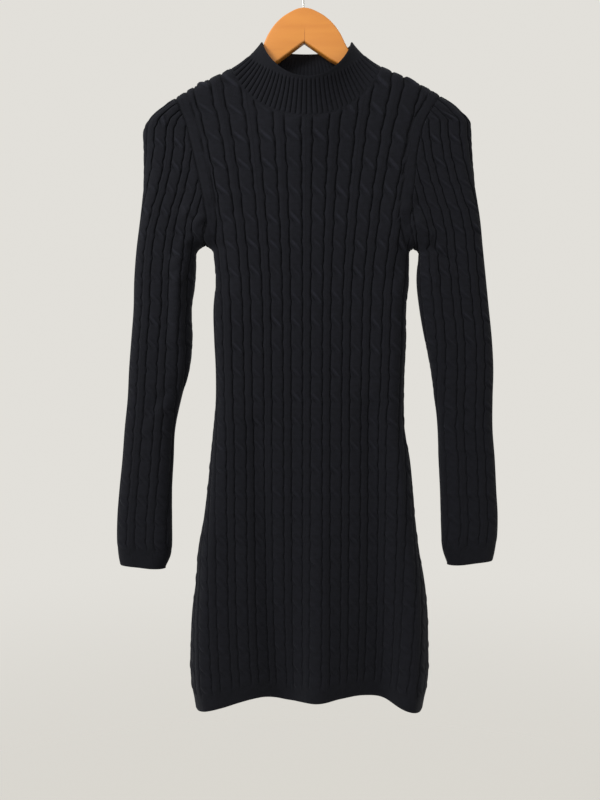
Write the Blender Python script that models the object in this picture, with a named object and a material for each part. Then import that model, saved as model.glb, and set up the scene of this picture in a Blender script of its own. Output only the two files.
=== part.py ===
"""A cable knit sweater dress with a mock neck and long sleeves, hanging from a wooden hanger.

The tables and functions work in millimetres, and add_object() turns them into metres. +Z is up,
the front faces -Y, and the origin is the point where the hanger's hook bears on its rail.

The dress is one hanging shape: depth() gives how far its plain inner face stands in front of or
behind the plane y = 0 at each place seen from the front. Each knitted panel is a flat pattern on
that shape. Its first coordinate is the length across, measured along the cloth, and its second is
the height. Cables and ribs are raised on the outer face. "Right" and "left" are the wearer's, so
the right side is at -X.
"""

import math

import bpy
import numpy as np
from mathutils import Vector
from mathutils.geometry import delaunay_2d_cdt

MM = 0.001
FRONT = -1
BACK = 1
RIGHT = -1
LEFT = 1

# The knitted wall.
WALL = 2.0  # the cloth without its relief
CABLE_RISE = 2.6
CROSSING_RISE = 1.2
RIB_RISE = 1.8
PLAIN_RISE = 0.9
SHOULDER_RISE = 1.2
CHANNEL_RISE = 0.2
SKIN = 4.3  # from the plain inner face out to the garment's outline
SEAM = 0.3

# The hanger.
TILT = math.radians(1.2)  # the wearer's left arm of it is the higher one
WOOD_THICK = 12.0
WOOD_EDGE = 5.4
ARM_REACH = 190.0
ARM_HEIGHT = 19.0
ARM_FROM = 100.0  # from here out an arm's upper edge slopes down
ARM_TOP = -141.3  # its height there
ARM_SLOPE = 0.46
BEND_FROM = 130.0  # from here out it also bends down
BEND = 0.0022
REST = 0.8  # from the arms' upper edge to the cloth
WIRE = 3.0
HOOK_RADIUS = 19.0
HOOK_ANGLES = (-35.0, 200.0)  # degrees, from the stem's bend round to the tip
HOOK_PLACES = 22
STEM_FOOT = -56.7
STEM_TOP = -44.0

# How the cloth rounds over at its edges.
CREST_ROUND = 14.0
CREST_RUN = CREST_ROUND * (math.pi / 2 - 1)  # by which a pattern runs on over the crest
CREST_PLACES = 25
CREST_PAST = 6.0  # beyond the wood's ends, where the sleeve heads begin to fall
OUTER_ROUND = 18.0
GAP_ROUND = 20.0
BLEND_WIDE = 60.0  # across an armhole, from the body's depth to the sleeve's
BLEND_HIGH = 100.0  # below the gap's top, until body and sleeve are wholly parted

# How finely the surfaces are measured.
SLICE_PLACES = 90
FINE_PLACES = 1200
HALVINGS = 60
HEAD_PAST = 246.0  # across, beyond both sleeve heads
HEAD_LOW = -270.0  # below here a sleeve's outer fold hangs free of the hanger's end
SHOULDER_HIGH = -150.0  # above the armholes' upper ends

# How far places inside an outline keep from it.
RAISED_ROOM = 5.5
INNER_ROOM = {"body": 8.0, "sleeve": 7.0}
ROW_ROOM = 3.0
SHOULDER_ROOM = 5.0
SEAM_ROOM = 5.0

# The knitting.
CENTRE = 5.5  # the middle rib of the front and of the back
CABLE_HALF = 0.305  # of a repeat, from a cable's middle to the channel beside it
FIRST_CROSSING = -235.0
CROSSING_STEP = 36.5
STEP_LOSS = 0.48  # by which each step down is shorter than the one before it
CROSSINGS = 24
CROSSINGS_ABOVE = 3
CROSSING_DROP = 4.8  # a crossing runs from this far above its middle to this far below it
PAD_LEAN = 0.06  # of a repeat, by which a pad's two points stand beside the cable's middle
PAD_POINTS = (0.32, 0.68)  # where they are on the way from one crossing to the next
SLEEVE_REPEAT = 25.2
SLEEVE_CROSSING = 29.5
SLEEVE_TOP = -190.0
SLEEVE_LEAN = 30.0  # by which a sleeve's cables lean towards the body on its front, from LEAN_FOOT up
LEAN_FOOT = -375.0
LEAN_HIGH = 150.0
BAND_RIB = 16.0  # the plain rib along an armhole
HEM_BAND = 20.0
HEM_PLACES = 31
HEM_ROW = 16.0  # from the hem up to the row of places in its band
SIDE_STEP = 29.0
CAP_ROWS = (0.6, 0.9, 1.0)  # up the gap's round top
ARMHOLE_PLACES = 12
BODY_CABLES = 8.5  # the outermost cable's place from the middle rib, in repeats
SLEEVE_CABLES = 4.5
CUFF_BAND = 25.0
CUFF_TILT = {RIGHT: 2.6, LEFT: 3.0}  # by which its outer side is higher than its middle
CUFF_PLACES = 17
CUFF_ROW = 20.0
SHOULDER_PLACES = 7
CREST_ROWS = (3.5, 7.0, 14.0, 21.0)  # down from the shoulder seam, over the hanger
HEAD_ROWS = (0.0, 6.0, 13.0)  # from a sleeve head's fold, over the hanger's end
HEAD_STEP = 8.0
HEAD_BAND = 19.0
HEAD_FOOT = -245.0
HEAD_SKIP = 6.0

KNIT = ((0.016, 0.018, 0.022, 1.0), 0.92, 0.0)
WOOD = ((0.62, 0.28, 0.075, 1.0), 0.28, 0.0)
STEEL = ((0.55, 0.55, 0.56, 1.0), 0.3, 1.0)


def table(columns, rows):
    """One array for each named column, with the rows sorted by their first one."""
    return dict(zip(columns.split(), np.array(sorted(rows), float).T))


# The body's outline, and how far its front and back stand from the plane of the hanger.
BODY = table(
    "height right left front back",
    [
        (-140, -120, 143, 12, 12),
        (-200, -120, 143, 14, 13),
        (-300, -120, 143, 19, 15),
        (-380, -120, 143, 22, 16),
        (-420, -117, 143, 22, 16),
        (-460, -120, 139, 23, 16),
        (-500, -119, 139, 24, 17),
        (-540, -117, 137, 25, 17),
        (-580, -117, 136, 26, 17),
        (-620, -120, 137, 28, 18),
        (-660, -124, 144, 30, 19),
        (-700, -128, 148, 32, 20),
        (-740, -133, 151, 34, 20),
        (-780, -140, 156, 36, 21),
        (-820, -143, 163, 38, 22),
        (-860, -148, 167, 40, 23),
        (-900, -150, 168, 41, 24),
        (-940, -150, 168, 42, 25),
        (-990, -143, 160, 42, 25),
    ],
)

SLEEVE = {
    RIGHT: table(
        "height outer inner half_depth",
        [
            (-160, -214, -142, 13),
            (-226, -214, -142, 13),
            (-260, -213, -142, 14),
            (-300, -214, -142, 15),
            (-340, -218, -142, 16),
            (-380, -223, -142, 16),
            (-420, -226, -143, 16),
            (-460, -227, -148, 16),
            (-500, -230, -147, 16),
            (-540, -233, -151, 15),
            (-580, -235, -162, 15),
            (-620, -239, -170, 14),
            (-660, -242, -172, 14),
            (-700, -246, -174, 13),
            (-740, -249, -174, 13),
            (-775, -249, -174, 13),
            (-787, -248, -175, 12),
            (-803.3, -245, -182, 12),
        ],
    ),
    LEFT: table(
        "height outer inner half_depth",
        [
            (-160, 226, 155, 13),
            (-220, 226, 155, 13),
            (-260, 228, 155, 14),
            (-300, 232, 155, 15),
            (-340, 238, 155, 16),
            (-380, 242, 155, 16),
            (-420, 246, 152, 16),
            (-460, 250, 156, 16),
            (-500, 254, 163, 16),
            (-540, 256, 171, 15),
            (-580, 255, 176, 15),
            (-620, 255, 180, 14),
            (-660, 258, 181, 14),
            (-700, 260, 183, 13),
            (-740, 262, 184, 13),
            (-765, 261, 185, 13),
            (-780, 259, 186, 12),
            (-798, 255, 192, 12),
        ],
    ),
}

# Past the hanger's ends the sleeve heads fall away: the inner face's outline there.
HEAD = {
    RIGHT: [(-246, -275), (-214, -229), (-204, -211)],
    LEFT: [(209, -198.5), (220, -209), (231, -227), (262, -275)],
}

# The armhole seams above the underarm, seen from the front.
ARMHOLE = {
    RIGHT: [(-345, -128), (-297, -134.5), (-246, -146.5), (-211, -155), (-191, -163.5), (-150, -181)],
    LEFT: [(-335, 142), (-297, 147), (-248, 152.5), (-210, 163), (-191, 174), (-150, 200)],
}

# The height at which the gap between body and sleeve begins to close in its round top.
GAP_FOOT = {RIGHT: -388.0, LEFT: -386.0}

# The hem: its height and how far it waves out, from the right side seam (-1) to the left one (1).
HEM = table(
    "across front back front_wave back_wave",
    [
        (-1.0, -988, -988, 0, 0),
        (-0.85, -983.5, -981, 12, 3),
        (-0.6, -971.5, -974, 6, 5),
        (-0.35, -964, -971, -6, -3),
        (-0.15, -970.5, -970, -12, -5),
        (0.05, -967.5, -971, 10, 4),
        (0.25, -964, -971, 1, 3),
        (0.45, -965.5, -971, -12, -5),
        (0.65, -974.5, -973, -9, 2),
        (0.85, -983.5, -979, 12, 5),
        (1.0, -984, -984, 0, 0),
    ],
)
WAVE_FADE = 150.0  # up from the hem

# The width of one repeat of the body's knitting, stretched by the shoulders.
REPEAT = table(
    "height wide",
    [
        (-140, 41),
        (-180, 39),
        (-220, 36),
        (-273, 32.8),
        (-345, 29.4),
        (-427, 26.7),
        (-520, 25.7),
        (-770, 24.8),
        (-1000, 24.8),
    ],
)

# The largest folds: a ridge, or a trough where its rise is below zero, from one place to another.
FOLDS = {
    FRONT: table(
        "x0 z0 x1 z1 wide rise",
        [
            (-152, -336, -122, -368, 9, 5.0),
            (136, -330, 166, -364, 9, 5.0),
            (-166, -400, -165, -500, 10, 3.5),
            (-118, -330, -96, -420, 11, -4.0),
            (148, -325, 120, -420, 11, -4.0),
            (-60, -620, -36, -960, 16, -5.0),
            (88, -600, 104, -960, 18, -5.0),
        ],
    ),
    BACK: table(
        "x0 z0 x1 z1 wide rise",
        [
            (-110, -350, -60, -470, 14, -3.0),
            (132, -350, 84, -470, 14, -3.0),
        ],
    ),
}

# The neckline, and the collar that stands on it.
NECK_HALF = 101.0
NECK_MIDDLE = 4.5
NECK_DEPTH = {FRONT: -210.0, BACK: -160.0}
NECK_POWER = {FRONT: 1.3, BACK: 0.9}
NECK_FALL = {FRONT: 0.5, BACK: 0.9}  # how fast the neckline leaves its corners
NECK_FORWARD = 12.0  # how far the front stands out below the collar
NECK_BUMP = {"middle": -206.0, "wide": 55.0, "high": 65.0}
COLLAR_HALF = 58.4
COLLAR_MIDDLE = 5.6
COLLAR_PEAK = -103.5
COLLAR_DROP = {FRONT: 58.5, BACK: 5.0}
COLLAR_FALL = {FRONT: 1.3, BACK: 1.0}
COLLAR_OUT = {FRONT: 36.0, BACK: 20.0}
COLLAR_ROUND = 0.8  # how fast the ring leaves its peaks
COLLAR_RIBS = {FRONT: 38, BACK: 34}
COLLAR_RIB_RISE = 1.5
COLLAR_BOW = 3.0
# The shares of the collar's height where its ribs begin and end, and where its plain band begins.
RIB_FOOT = 0.08
RIB_TOP = 0.78
BAND_FOOT = 0.85

# The hanger's outline: the bell round its neck, the round ends of its arms, and the lower edge.
BELL = [
    (0, -57),
    (8, -58.2),
    (16, -61.6),
    (26.5, -67.6),
    (36, -75.6),
    (43, -84),
    (48.7, -92.8),
    (52.6, -101),
    (56, -108.5),
    (61, -117),
    (68, -125),
    (79, -133),
]
ARM_STARTS = 96.0
ARM_PLACES = 9
ARM_TIP = [(194.5, -197.5), (196.5, -202.5), (195.5, -208), (190.5, -211.5)]
UNDER_ENDS = (180.0, 60.0)
UNDER_PLACES = 7
NECK_FOOT = (34.5, -127.5)
NECK_NOTCH = (0, -103)
EDGE_STEPS = 3

# The wire between the stem and the hook's round.
STEM_BEND = [(2.2, -38.5), (8, -33.5)]


def at(columns, name, where):
    """A smooth curve through one column, of cubic pieces with no overshoot between rows."""
    keys = next(iter(columns.values()))
    values = columns[name]
    slopes = np.gradient(values, keys)
    where = np.clip(where, keys[0], keys[-1])
    row = np.clip(np.searchsorted(keys, where) - 1, 0, len(keys) - 2)
    span = keys[row + 1] - keys[row]
    t = (where - keys[row]) / span
    ends = (1 + 2 * t) * (1 - t) ** 2 * values[row] + t**2 * (3 - 2 * t) * values[row + 1]
    return ends + span * (t * (1 - t) ** 2 * slopes[row] - t**2 * (1 - t) * slopes[row + 1])


def smooth(t):
    """0 below 0 and 1 above 1, with a smooth rise between."""
    t = np.clip(t, 0, 1)
    return t * t * (3 - 2 * t)


def bump(t):
    """A round hill, 1 in its middle and near 0 two widths away."""
    return np.exp(-t * t)


def quarter_round(t):
    """The profile of a quarter circle: 0 at its edge and 1 from a radius away."""
    return np.sqrt(np.clip(1 - (1 - np.clip(t, 0, 1)) ** 2, 0, 1))


def arm_top(x):
    """The upper edge of the hanger's arms, in the hanger's own upright frame."""
    x = np.abs(x)
    return ARM_TOP - ARM_SLOPE * (x - ARM_FROM) - BEND * np.clip(x - BEND_FROM, 0, None) ** 2


def tilted(x, z):
    """A place on the upright hanger, once it has tilted about the hook's bearing point."""
    return x * math.cos(TILT) - z * math.sin(TILT), x * math.sin(TILT) + z * math.cos(TILT)


def crest_table():
    """The inner face's highest line: over the hanger's arms, then down past them to the sleeve heads."""
    reach = np.linspace(-ARM_REACH - CREST_PAST, ARM_REACH + CREST_PAST, CREST_PLACES)
    x, z = tilted(reach, arm_top(reach) + REST)
    return table("x z", HEAD[RIGHT] + list(zip(x, z)) + HEAD[LEFT])


CREST = crest_table()


def body_edge(z, hand):
    """The inner face's side edge, below the underarm."""
    return at(BODY, "right" if hand == RIGHT else "left", z) - hand * SKIN


def sleeve_edge(z, hand):
    """The inner face's edge of a sleeve, beside the body."""
    return at(SLEEVE[hand], "inner", z) + hand * SKIN


def gap_of(hand):
    """The gap between body and sleeve: its middle and half width where its round top begins, and its top."""
    foot = GAP_FOOT[hand]
    half = abs(sleeve_edge(foot, hand) - body_edge(foot, hand)) / 2
    middle = (sleeve_edge(foot, hand) + body_edge(foot, hand)) / 2
    return {"foot": foot, "middle": middle, "half": half, "top": foot + half}


GAP = {hand: gap_of(hand) for hand in (RIGHT, LEFT)}
ARMHOLE_LINE = {
    hand: table("height x", ARMHOLE[hand] + [(GAP[hand]["top"], GAP[hand]["middle"])])
    for hand in (RIGHT, LEFT)
}


def gap_distance(x, z, hand):
    """How far a place lies outside the gap between body and sleeve."""
    gap = GAP[hand]
    beside = np.maximum(hand * (body_edge(z, hand) - x), hand * (x - sleeve_edge(z, hand)))
    over = np.hypot(x - gap["middle"], z - gap["foot"]) - gap["half"]
    return np.where(z > gap["foot"], over, beside)


def body_share(x, z, hand):
    """1 on the body and 0 on the sleeve, with a smooth change across the armhole."""
    gap = GAP[hand]
    over = smooth(0.5 + hand * (gap["middle"] - x) / BLEND_WIDE)
    middle = (body_edge(z, hand) + sleeve_edge(z, hand)) / 2
    below = (hand * (middle - x) > 0).astype(float)
    return below + (over - below) * smooth((z - gap["foot"] + BLEND_HIGH) / BLEND_HIGH)


def hem_at(x, z, name):
    """A column of the hem's table at a place's share of the body's width."""
    right = body_edge(z, RIGHT)
    left = body_edge(z, LEFT)
    return at(HEM, name, 2 * (x - right) / (left - right) - 1)


def fullness(x, z, face):
    """How far the inner face stands from the plane of the hanger, away from the garment's edges."""
    name = "front" if face == FRONT else "back"
    body = at(BODY, name, z)
    body = body + hem_at(x, z, name + "_wave") * np.exp((hem_at(x, z, name) - z) / WAVE_FADE)
    if face == FRONT:
        body = body + NECK_FORWARD * bump((x - NECK_MIDDLE) / NECK_BUMP["wide"]) * bump(
            (z - NECK_BUMP["middle"]) / NECK_BUMP["high"]
        )
    for hand in (RIGHT, LEFT):
        share = body_share(x, z, hand)
        body = np.where(hand * x > 0, share * body + (1 - share) * at(SLEEVE[hand], "half_depth", z), body)
    for x0, z0, x1, z1, wide, rise in zip(*FOLDS[face].values()):
        along = ((x - x0) * (x1 - x0) + (z - z0) * (z1 - z0)) / ((x1 - x0) ** 2 + (z1 - z0) ** 2)
        along = np.clip(along, 0, 1)
        body = body + rise * bump(np.hypot(x - x0 - along * (x1 - x0), z - z0 - along * (z1 - z0)) / wide)
    return body


def side_depth(x, z, face):
    """The inner face's y with every rounding but the one over the shoulders."""
    round_off = 1.0
    for hand in (RIGHT, LEFT):
        round_off = round_off * quarter_round(gap_distance(x, z, hand) / GAP_ROUND)
        outer = hand * (at(SLEEVE[hand], "outer", z) - x) - SKIN
        round_off = round_off * quarter_round(outer / OUTER_ROUND)
    return face * fullness(x, z, face) * round_off


def depth(x, z, face):
    """The inner face's y."""
    return side_depth(x, z, face) * quarter_round((at(CREST, "z", x) - z) / CREST_ROUND)


def outward(x, z, face):
    """The outward normals of the surface y = depth(x, z)."""
    step = 0.01
    slope_x = (depth(x + step, z, face) - depth(x - step, z, face)) / (2 * step)
    slope_z = (depth(x, z + step, face) - depth(x, z - step, face)) / (2 * step)
    normal = np.stack([-face * slope_x, np.full_like(slope_x, face), -face * slope_z], axis=-1)
    return normal / np.linalg.norm(normal, axis=-1, keepdims=True)


def slice_across(start, end, z, profile):
    """Level slices of a surface: x along each, from start to end, and the length of cloth up to there."""
    turn = 0.5 - 0.5 * np.cos(np.linspace(0, math.pi, SLICE_PLACES))
    x = start[:, None] + (end - start)[:, None] * turn
    y = profile(x, z[:, None])
    long = np.cumsum(np.hypot(np.diff(x), np.diff(y)), axis=1)
    return x, np.concatenate([np.zeros((len(z), 1)), long], axis=1)


def read_slice(x, long, wanted):
    """x at a wanted length of cloth along each slice."""
    wanted = np.clip(wanted, 0, long[:, -1])
    i = np.clip((long < wanted[:, None]).sum(axis=1) - 1, 0, long.shape[1] - 2)
    row = np.arange(len(i))
    share = (wanted - long[row, i]) / np.maximum(long[row, i + 1] - long[row, i], 1e-9)
    return x[row, i] + share * (x[row, i + 1] - x[row, i])


def under_gap(z, hand, edge, side):
    """The edge beside the gap, its round top, and the armhole. side is 1 for the sleeve, -1 for the body."""
    gap = GAP[hand]
    cap = np.sqrt(np.clip(gap["half"] ** 2 - (z - gap["foot"]) ** 2, 0, None))
    over = np.where(z < gap["top"], gap["middle"] + side * hand * cap, at(ARMHOLE_LINE[hand], "x", z))
    return np.where(z > gap["foot"], over, edge(z, hand))


def fold_x(z, hand):
    """The inner face's outer edge: the sleeve's outer fold, and the crest above it."""
    x = hand * np.linspace(0, HEAD_PAST, FINE_PLACES)
    by_crest = np.interp(z, at(CREST, "z", x)[::-1], x[::-1])
    by_sleeve = at(SLEEVE[hand], "outer", z) - hand * SKIN
    return np.where(z < HEAD_LOW, by_sleeve, hand * np.minimum(hand * by_crest, hand * by_sleeve))


class BodyPattern:
    """The flat pattern of the front or the back. Across is measured from the middle rib. Near the
    shoulders the pattern runs on over the hanger, by CREST_ROUND * (pi / 2 - 1) above the crest."""

    def __init__(self, face):
        self.face = face
        self.turn = -face  # 1 where across runs to the right for someone who looks at the cloth

    def slices(self, height, hand):
        start = np.full_like(height, CENTRE)
        end = under_gap(height, hand, body_edge, -1)
        return slice_across(start, end, height, lambda x, z: side_depth(x, z, self.face))

    def reach(self, height, hand):
        """The length of cloth from the middle rib to the edge."""
        return self.slices(height, hand)[1][:, -1]

    def rise(self, x, height):
        """The height in the pattern of a place at this x and z."""
        under = (at(CREST, "z", x) - height) / CREST_ROUND
        over = at(CREST, "z", x) + CREST_RUN - CREST_ROUND * np.arccos(np.clip(1 - under, -1, 1))
        return np.where(under < 1, over, height)

    def place(self, across, height):
        """The inner face's points and its outward normals."""
        x = np.zeros_like(across)
        for hand in (RIGHT, LEFT):
            here = hand * across >= 0
            if here.any():
                x[here] = read_slice(*self.slices(height[here], hand), hand * across[here])
        top = at(CREST, "z", x)
        angle = (top + CREST_RUN - height) / CREST_ROUND
        over = angle < math.pi / 2
        angle = np.clip(angle, 0, math.pi / 2)
        z = np.where(over, top - CREST_ROUND * (1 - np.cos(angle)), height)
        y = side_depth(x, z, self.face) * np.sin(angle)
        return np.stack([x, y, z], axis=-1), outward(x, z, self.face)


class SleevePattern:
    """The flat pattern of a sleeve. Across is measured from the outer fold, below zero on the front."""

    def __init__(self, hand):
        self.hand = hand
        self.turn = hand

    def slices(self, height, face):
        start = fold_x(height, self.hand)
        end = under_gap(height, self.hand, sleeve_edge, 1)
        return slice_across(start, end, height, lambda x, z: depth(x, z, face))

    def reach(self, height, face):
        return self.slices(height, face)[1][:, -1]

    def place(self, across, height):
        points = np.zeros((len(across), 3))
        normals = np.zeros((len(across), 3))
        for face in (FRONT, BACK):
            here = face * across >= 0
            if here.any():
                x = read_slice(*self.slices(height[here], face), face * across[here])
                points[here] = np.stack([x, depth(x, height[here], face), height[here]], axis=-1)
                normals[here] = outward(x, height[here], face)
        fold = np.abs(across) < 1e-9
        normals[fold, 1] = 0
        return points, normals / np.linalg.norm(normals, axis=-1, keepdims=True)


def crossing_heights():
    """The heights of the body's cable crossings, from the shoulders down."""
    count = np.arange(-CROSSINGS_ABOVE, CROSSINGS)
    return FIRST_CROSSING - CROSSING_STEP * count + STEP_LOSS * count * (count - 1) / 2


def knitting(repeat, cables, heights, turn):
    """The raised points of the cables and the ribs between them: places in the pattern, rises, and creases.

    Each cable has a slanting crossing at every height and a two-pointed pad between crossings, and
    each rib is one line of points. cables holds the cables' middles in repeats."""
    cable, height = np.meshgrid(cables, heights, indexing="ij")
    step = -np.gradient(heights)[None, :]
    parts = [
        (cable - turn * CABLE_HALF, height + CROSSING_DROP, CHANNEL_RISE),
        (cable, height, CROSSING_RISE),
        (cable + turn * CABLE_HALF, height - CROSSING_DROP, CHANNEL_RISE),
        (cable - turn * PAD_LEAN, height - PAD_POINTS[0] * step, CABLE_RISE),
        (cable + turn * PAD_LEAN, height - PAD_POINTS[1] * step, CABLE_RISE),
        (cable + 0.5, height, RIB_RISE),
    ]
    points = np.concatenate([np.stack([c * repeat(h), h], axis=-1).reshape(-1, 2) for c, h, _ in parts])
    rises = np.concatenate([np.full(cable.size, rise) for _, _, rise in parts])
    number = np.arange(len(points)).reshape(len(parts), *cable.shape)
    creases = [(number[0], number[1]), (number[1], number[2])]
    creases += [(number[part][:, :-1], number[part][:, 1:]) for part in (0, 2, 5)]
    return points, rises, np.concatenate([np.stack([a.ravel(), b.ravel()], axis=-1) for a, b in creases])


def distance_inside(points, loop):
    """How far inside a closed outline each place lies, below zero outside it."""
    a = loop[None]
    b = np.roll(loop, -1, axis=0)[None]
    p = points[:, None]
    along = np.clip(((p - a) * (b - a)).sum(-1) / ((b - a) ** 2).sum(-1), 0, 1)
    near = np.linalg.norm(p - a - along[..., None] * (b - a), axis=-1).min(axis=1)
    crosses = (a[..., 1] > p[..., 1]) != (b[..., 1] > p[..., 1])
    with np.errstate(divide="ignore", invalid="ignore"):
        share = (p[..., 1] - a[..., 1]) / (b[..., 1] - a[..., 1])
        beyond = p[..., 0] < a[..., 0] + share * (b[..., 0] - a[..., 0])
    return np.where((crosses & beyond).sum(axis=1) % 2 == 1, near, -near)


def moved_in(loop, by):
    """A closed outline moved inwards. Its points run anticlockwise."""
    before = loop - np.roll(loop, 1, axis=0)
    after = np.roll(loop, -1, axis=0) - loop
    sides = [np.stack([-d[:, 1], d[:, 0]], axis=-1) for d in (before, after)]
    sides = [side / np.linalg.norm(side, axis=1)[:, None] for side in sides]
    corner = 1 + (sides[0] * sides[1]).sum(axis=1, keepdims=True)
    return loop + by * (sides[0] + sides[1]) / np.maximum(corner, 0.5)


def triangles_of(points, creases):
    """Triangles, anticlockwise, between all the given places and with all the given creases as edges."""
    flat = [Vector(p) for p in points.tolist()]
    found, _, faces, origins, _, _ = delaunay_2d_cdt(flat, creases.tolist(), [], 1, 1e-5)
    if len(found) != len(flat) or any(len(origin) != 1 for origin in origins):
        raise ValueError("two creases cross or two places meet")
    faces = np.array([[origins[v][0] for v in face] for face in faces])
    a, b, c = (points[faces[:, i]] for i in range(3))
    signed = (b[:, 0] - a[:, 0]) * (c[:, 1] - a[:, 1]) - (b[:, 1] - a[:, 1]) * (c[:, 0] - a[:, 0])
    return np.where(signed[:, None] > 0, faces, faces[:, ::-1])


def joined(loop, points, rises, creases, keep):
    """The outline's places, then those kept from the rest, with the creases that still have both ends."""
    number = np.full(len(points), -1)
    number[keep] = len(loop) + np.arange(keep.sum())
    creases = number[creases]
    outline = np.arange(len(loop))
    edges = np.stack([outline, np.roll(outline, -1)], axis=-1)
    creases = np.concatenate([edges, creases[(creases >= 0).all(axis=1)]])
    rises = np.concatenate([np.full(len(loop), PLAIN_RISE), rises[keep]])
    return np.concatenate([loop, points[keep]]), rises, creases


def with_rows(points, rises, creases, rows):
    """Adds rows of places, each a crease of its own: (places, rise)."""
    for places, rise in rows:
        number = len(points) + np.arange(len(places))
        points = np.concatenate([points, places])
        rises = np.concatenate([rises, np.full(len(places), rise)])
        creases = np.concatenate([creases, np.stack([number[:-1], number[1:]], axis=-1)])
    return points, rises, creases


def armhole_seam(hand, face, side):
    """The armhole seam from the gap's top to the crest, half a seam's gap to one side: places on the
    inner face and outward normals. side is 1 for the sleeve and -1 for the body."""
    z = np.concatenate([[GAP[hand]["top"]], armhole_heights(hand)])
    x = at(ARMHOLE_LINE[hand], "x", z)
    places = np.stack([x, depth(x, z, face), z], axis=-1)
    normals = outward(x, z, face)
    normals[0] = (0, 0, -1)
    across = np.cross(np.gradient(places, axis=0), normals)
    across[0] = (1, 0, 0)
    across *= side * hand * np.sign(across[:, :1]) / np.linalg.norm(across, axis=1, keepdims=True)
    places = places + across * SEAM / 2
    if side < 0:
        places[[0, -1], 1] += face * SEAM / 2
    return places, normals


def panel_mesh(pattern, loop, closed, sewn, outer, inner):
    """A knitted wall from its pattern: the outer face, the inner face and the rims between them.

    closed holds pairs of the outline's places that are sewn to each other, where the panel has no
    rim. sewn holds the places that an armhole seam gives: their numbers in the outline, points and
    normals."""
    points, rises, creases = outer
    outer_faces = triangles_of(points, creases)
    places, normals = pattern.place(points[:, 0], points[:, 1])
    for number, place, normal in sewn:
        places[number] = place
        normals[number] = normal
    outside = places + normals * (WALL + rises)[:, None]
    points, _, creases = inner
    inner_faces = triangles_of(points, creases)[:, ::-1]
    inside, _ = pattern.place(points[:, 0], points[:, 1])
    for number, place, _ in sewn:
        inside[number] = place
    twin = dict(closed)
    corners = len(outside)
    faces = outer_faces.tolist() + (inner_faces + corners).tolist()
    for a in range(len(loop)):
        b = (a + 1) % len(loop)
        if not ((a in twin and b in twin) or (a in twin.values() and b in twin.values())):
            if loop[b, 1] > loop[a, 1]:
                faces += [(b, a, a + corners), (b, a + corners, b + corners)]
            else:
                faces += [(b, a, b + corners), (a, a + corners, b + corners)]
    same = np.arange(corners + len(inside))
    for a, b in closed:
        same[a] = b
        same[a + corners] = b + corners
    faces = same[np.array(faces)]
    if pattern.turn < 0:
        faces = faces[:, ::-1]
    return np.concatenate([outside, inside]), faces


def add_object(name, points, faces, finish):
    """A named object from points in millimetres, with a material of its own."""
    faces = np.asarray(faces)
    used, faces = np.unique(faces, return_inverse=True)
    mesh = bpy.data.meshes.new(name)
    mesh.from_pydata((np.asarray(points)[used] * MM).tolist(), [], faces.reshape(-1, 3).tolist())
    mesh.shade_smooth()
    mesh.set_sharp_from_angle(angle=math.radians(50))
    piece = bpy.data.objects.new(name, mesh)
    bpy.context.scene.collection.objects.link(piece)
    mesh.materials.append(material(name, *finish))
    return piece


def material(name, colour, roughness, metallic):
    made = bpy.data.materials.new(name)
    made.use_nodes = True
    made.diffuse_color = colour
    shader = made.node_tree.nodes["Principled BSDF"]
    shader.inputs["Base Color"].default_value = colour
    shader.inputs["Roughness"].default_value = roughness
    shader.inputs["Metallic"].default_value = metallic
    return made


def armhole_heights(hand):
    """The heights of the armhole seam's places, from just above the underarm to the crest."""
    low = GAP[hand]["top"]
    high = SHOULDER_HIGH
    for _ in range(HALVINGS):
        middle = (low + high) / 2
        x = at(ARMHOLE_LINE[hand], "x", middle)
        low, high = (middle, high) if at(CREST, "z", x) > middle else (low, middle)
    drops = CREST_ROUND * (1 - np.cos(np.array([*CREST_ROWS[2::-1], 0.0]) / CREST_ROUND))
    return np.concatenate([np.linspace(GAP[hand]["top"], low - CREST_ROUND, ARMHOLE_PLACES)[1:], low - drops])


def side_heights(hand, lowest):
    """The heights of a side seam's or an underarm seam's places, from the bottom to the top of the gap."""
    gap = GAP[hand]
    rows = max(2, round((gap["foot"] - lowest) / SIDE_STEP))
    cap = gap["foot"] + gap["half"] * np.array(CAP_ROWS)
    return np.concatenate([np.linspace(lowest, gap["foot"], rows), cap])


def neckline(pattern, inset, thetas):
    """The neckline's places in the pattern, from right shoulder to left. inset makes a smaller one."""
    x = NECK_MIDDLE - (NECK_HALF - inset) * np.cos(thetas)
    ends = NECK_MIDDLE + (NECK_HALF - inset) * np.array([-1, 1])
    corners = pattern.rise(ends, at(CREST, "z", ends))
    corner = corners[0] + (corners[1] - corners[0]) * (1 - np.cos(thetas)) / 2
    fall = np.sin(thetas).clip(0) ** NECK_POWER[pattern.face]
    return np.stack([x - CENTRE, corner + (NECK_DEPTH[pattern.face] + inset - corner) * fall], axis=-1)


def lengths(points):
    """How far along a line of points each one lies."""
    return np.concatenate([[0], np.cumsum(np.linalg.norm(np.diff(points, axis=0), axis=1))])


def neck_angles(pattern):
    """The angles of the collar's ribs round the neckline, evenly spaced along the seam."""
    fine = np.linspace(0, math.pi, FINE_PLACES)
    line = neckline(pattern, 0.0, fine)
    points, _ = pattern.place(line[:, 0], line[:, 1])
    long = lengths(points)
    return np.interp(np.linspace(0, long[-1], COLLAR_RIBS[pattern.face] + 1), long, fine)


def hem_places(pattern):
    """The hem's places, from the right side seam to the left one."""
    across = np.linspace(-1, 1, HEM_PLACES)
    height = at(HEM, "front" if pattern.face == FRONT else "back", across)
    reach = {hand: pattern.reach(height, hand) for hand in (RIGHT, LEFT)}
    return np.stack([across * np.where(across < 0, reach[RIGHT], reach[LEFT]), height], axis=-1)


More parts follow.
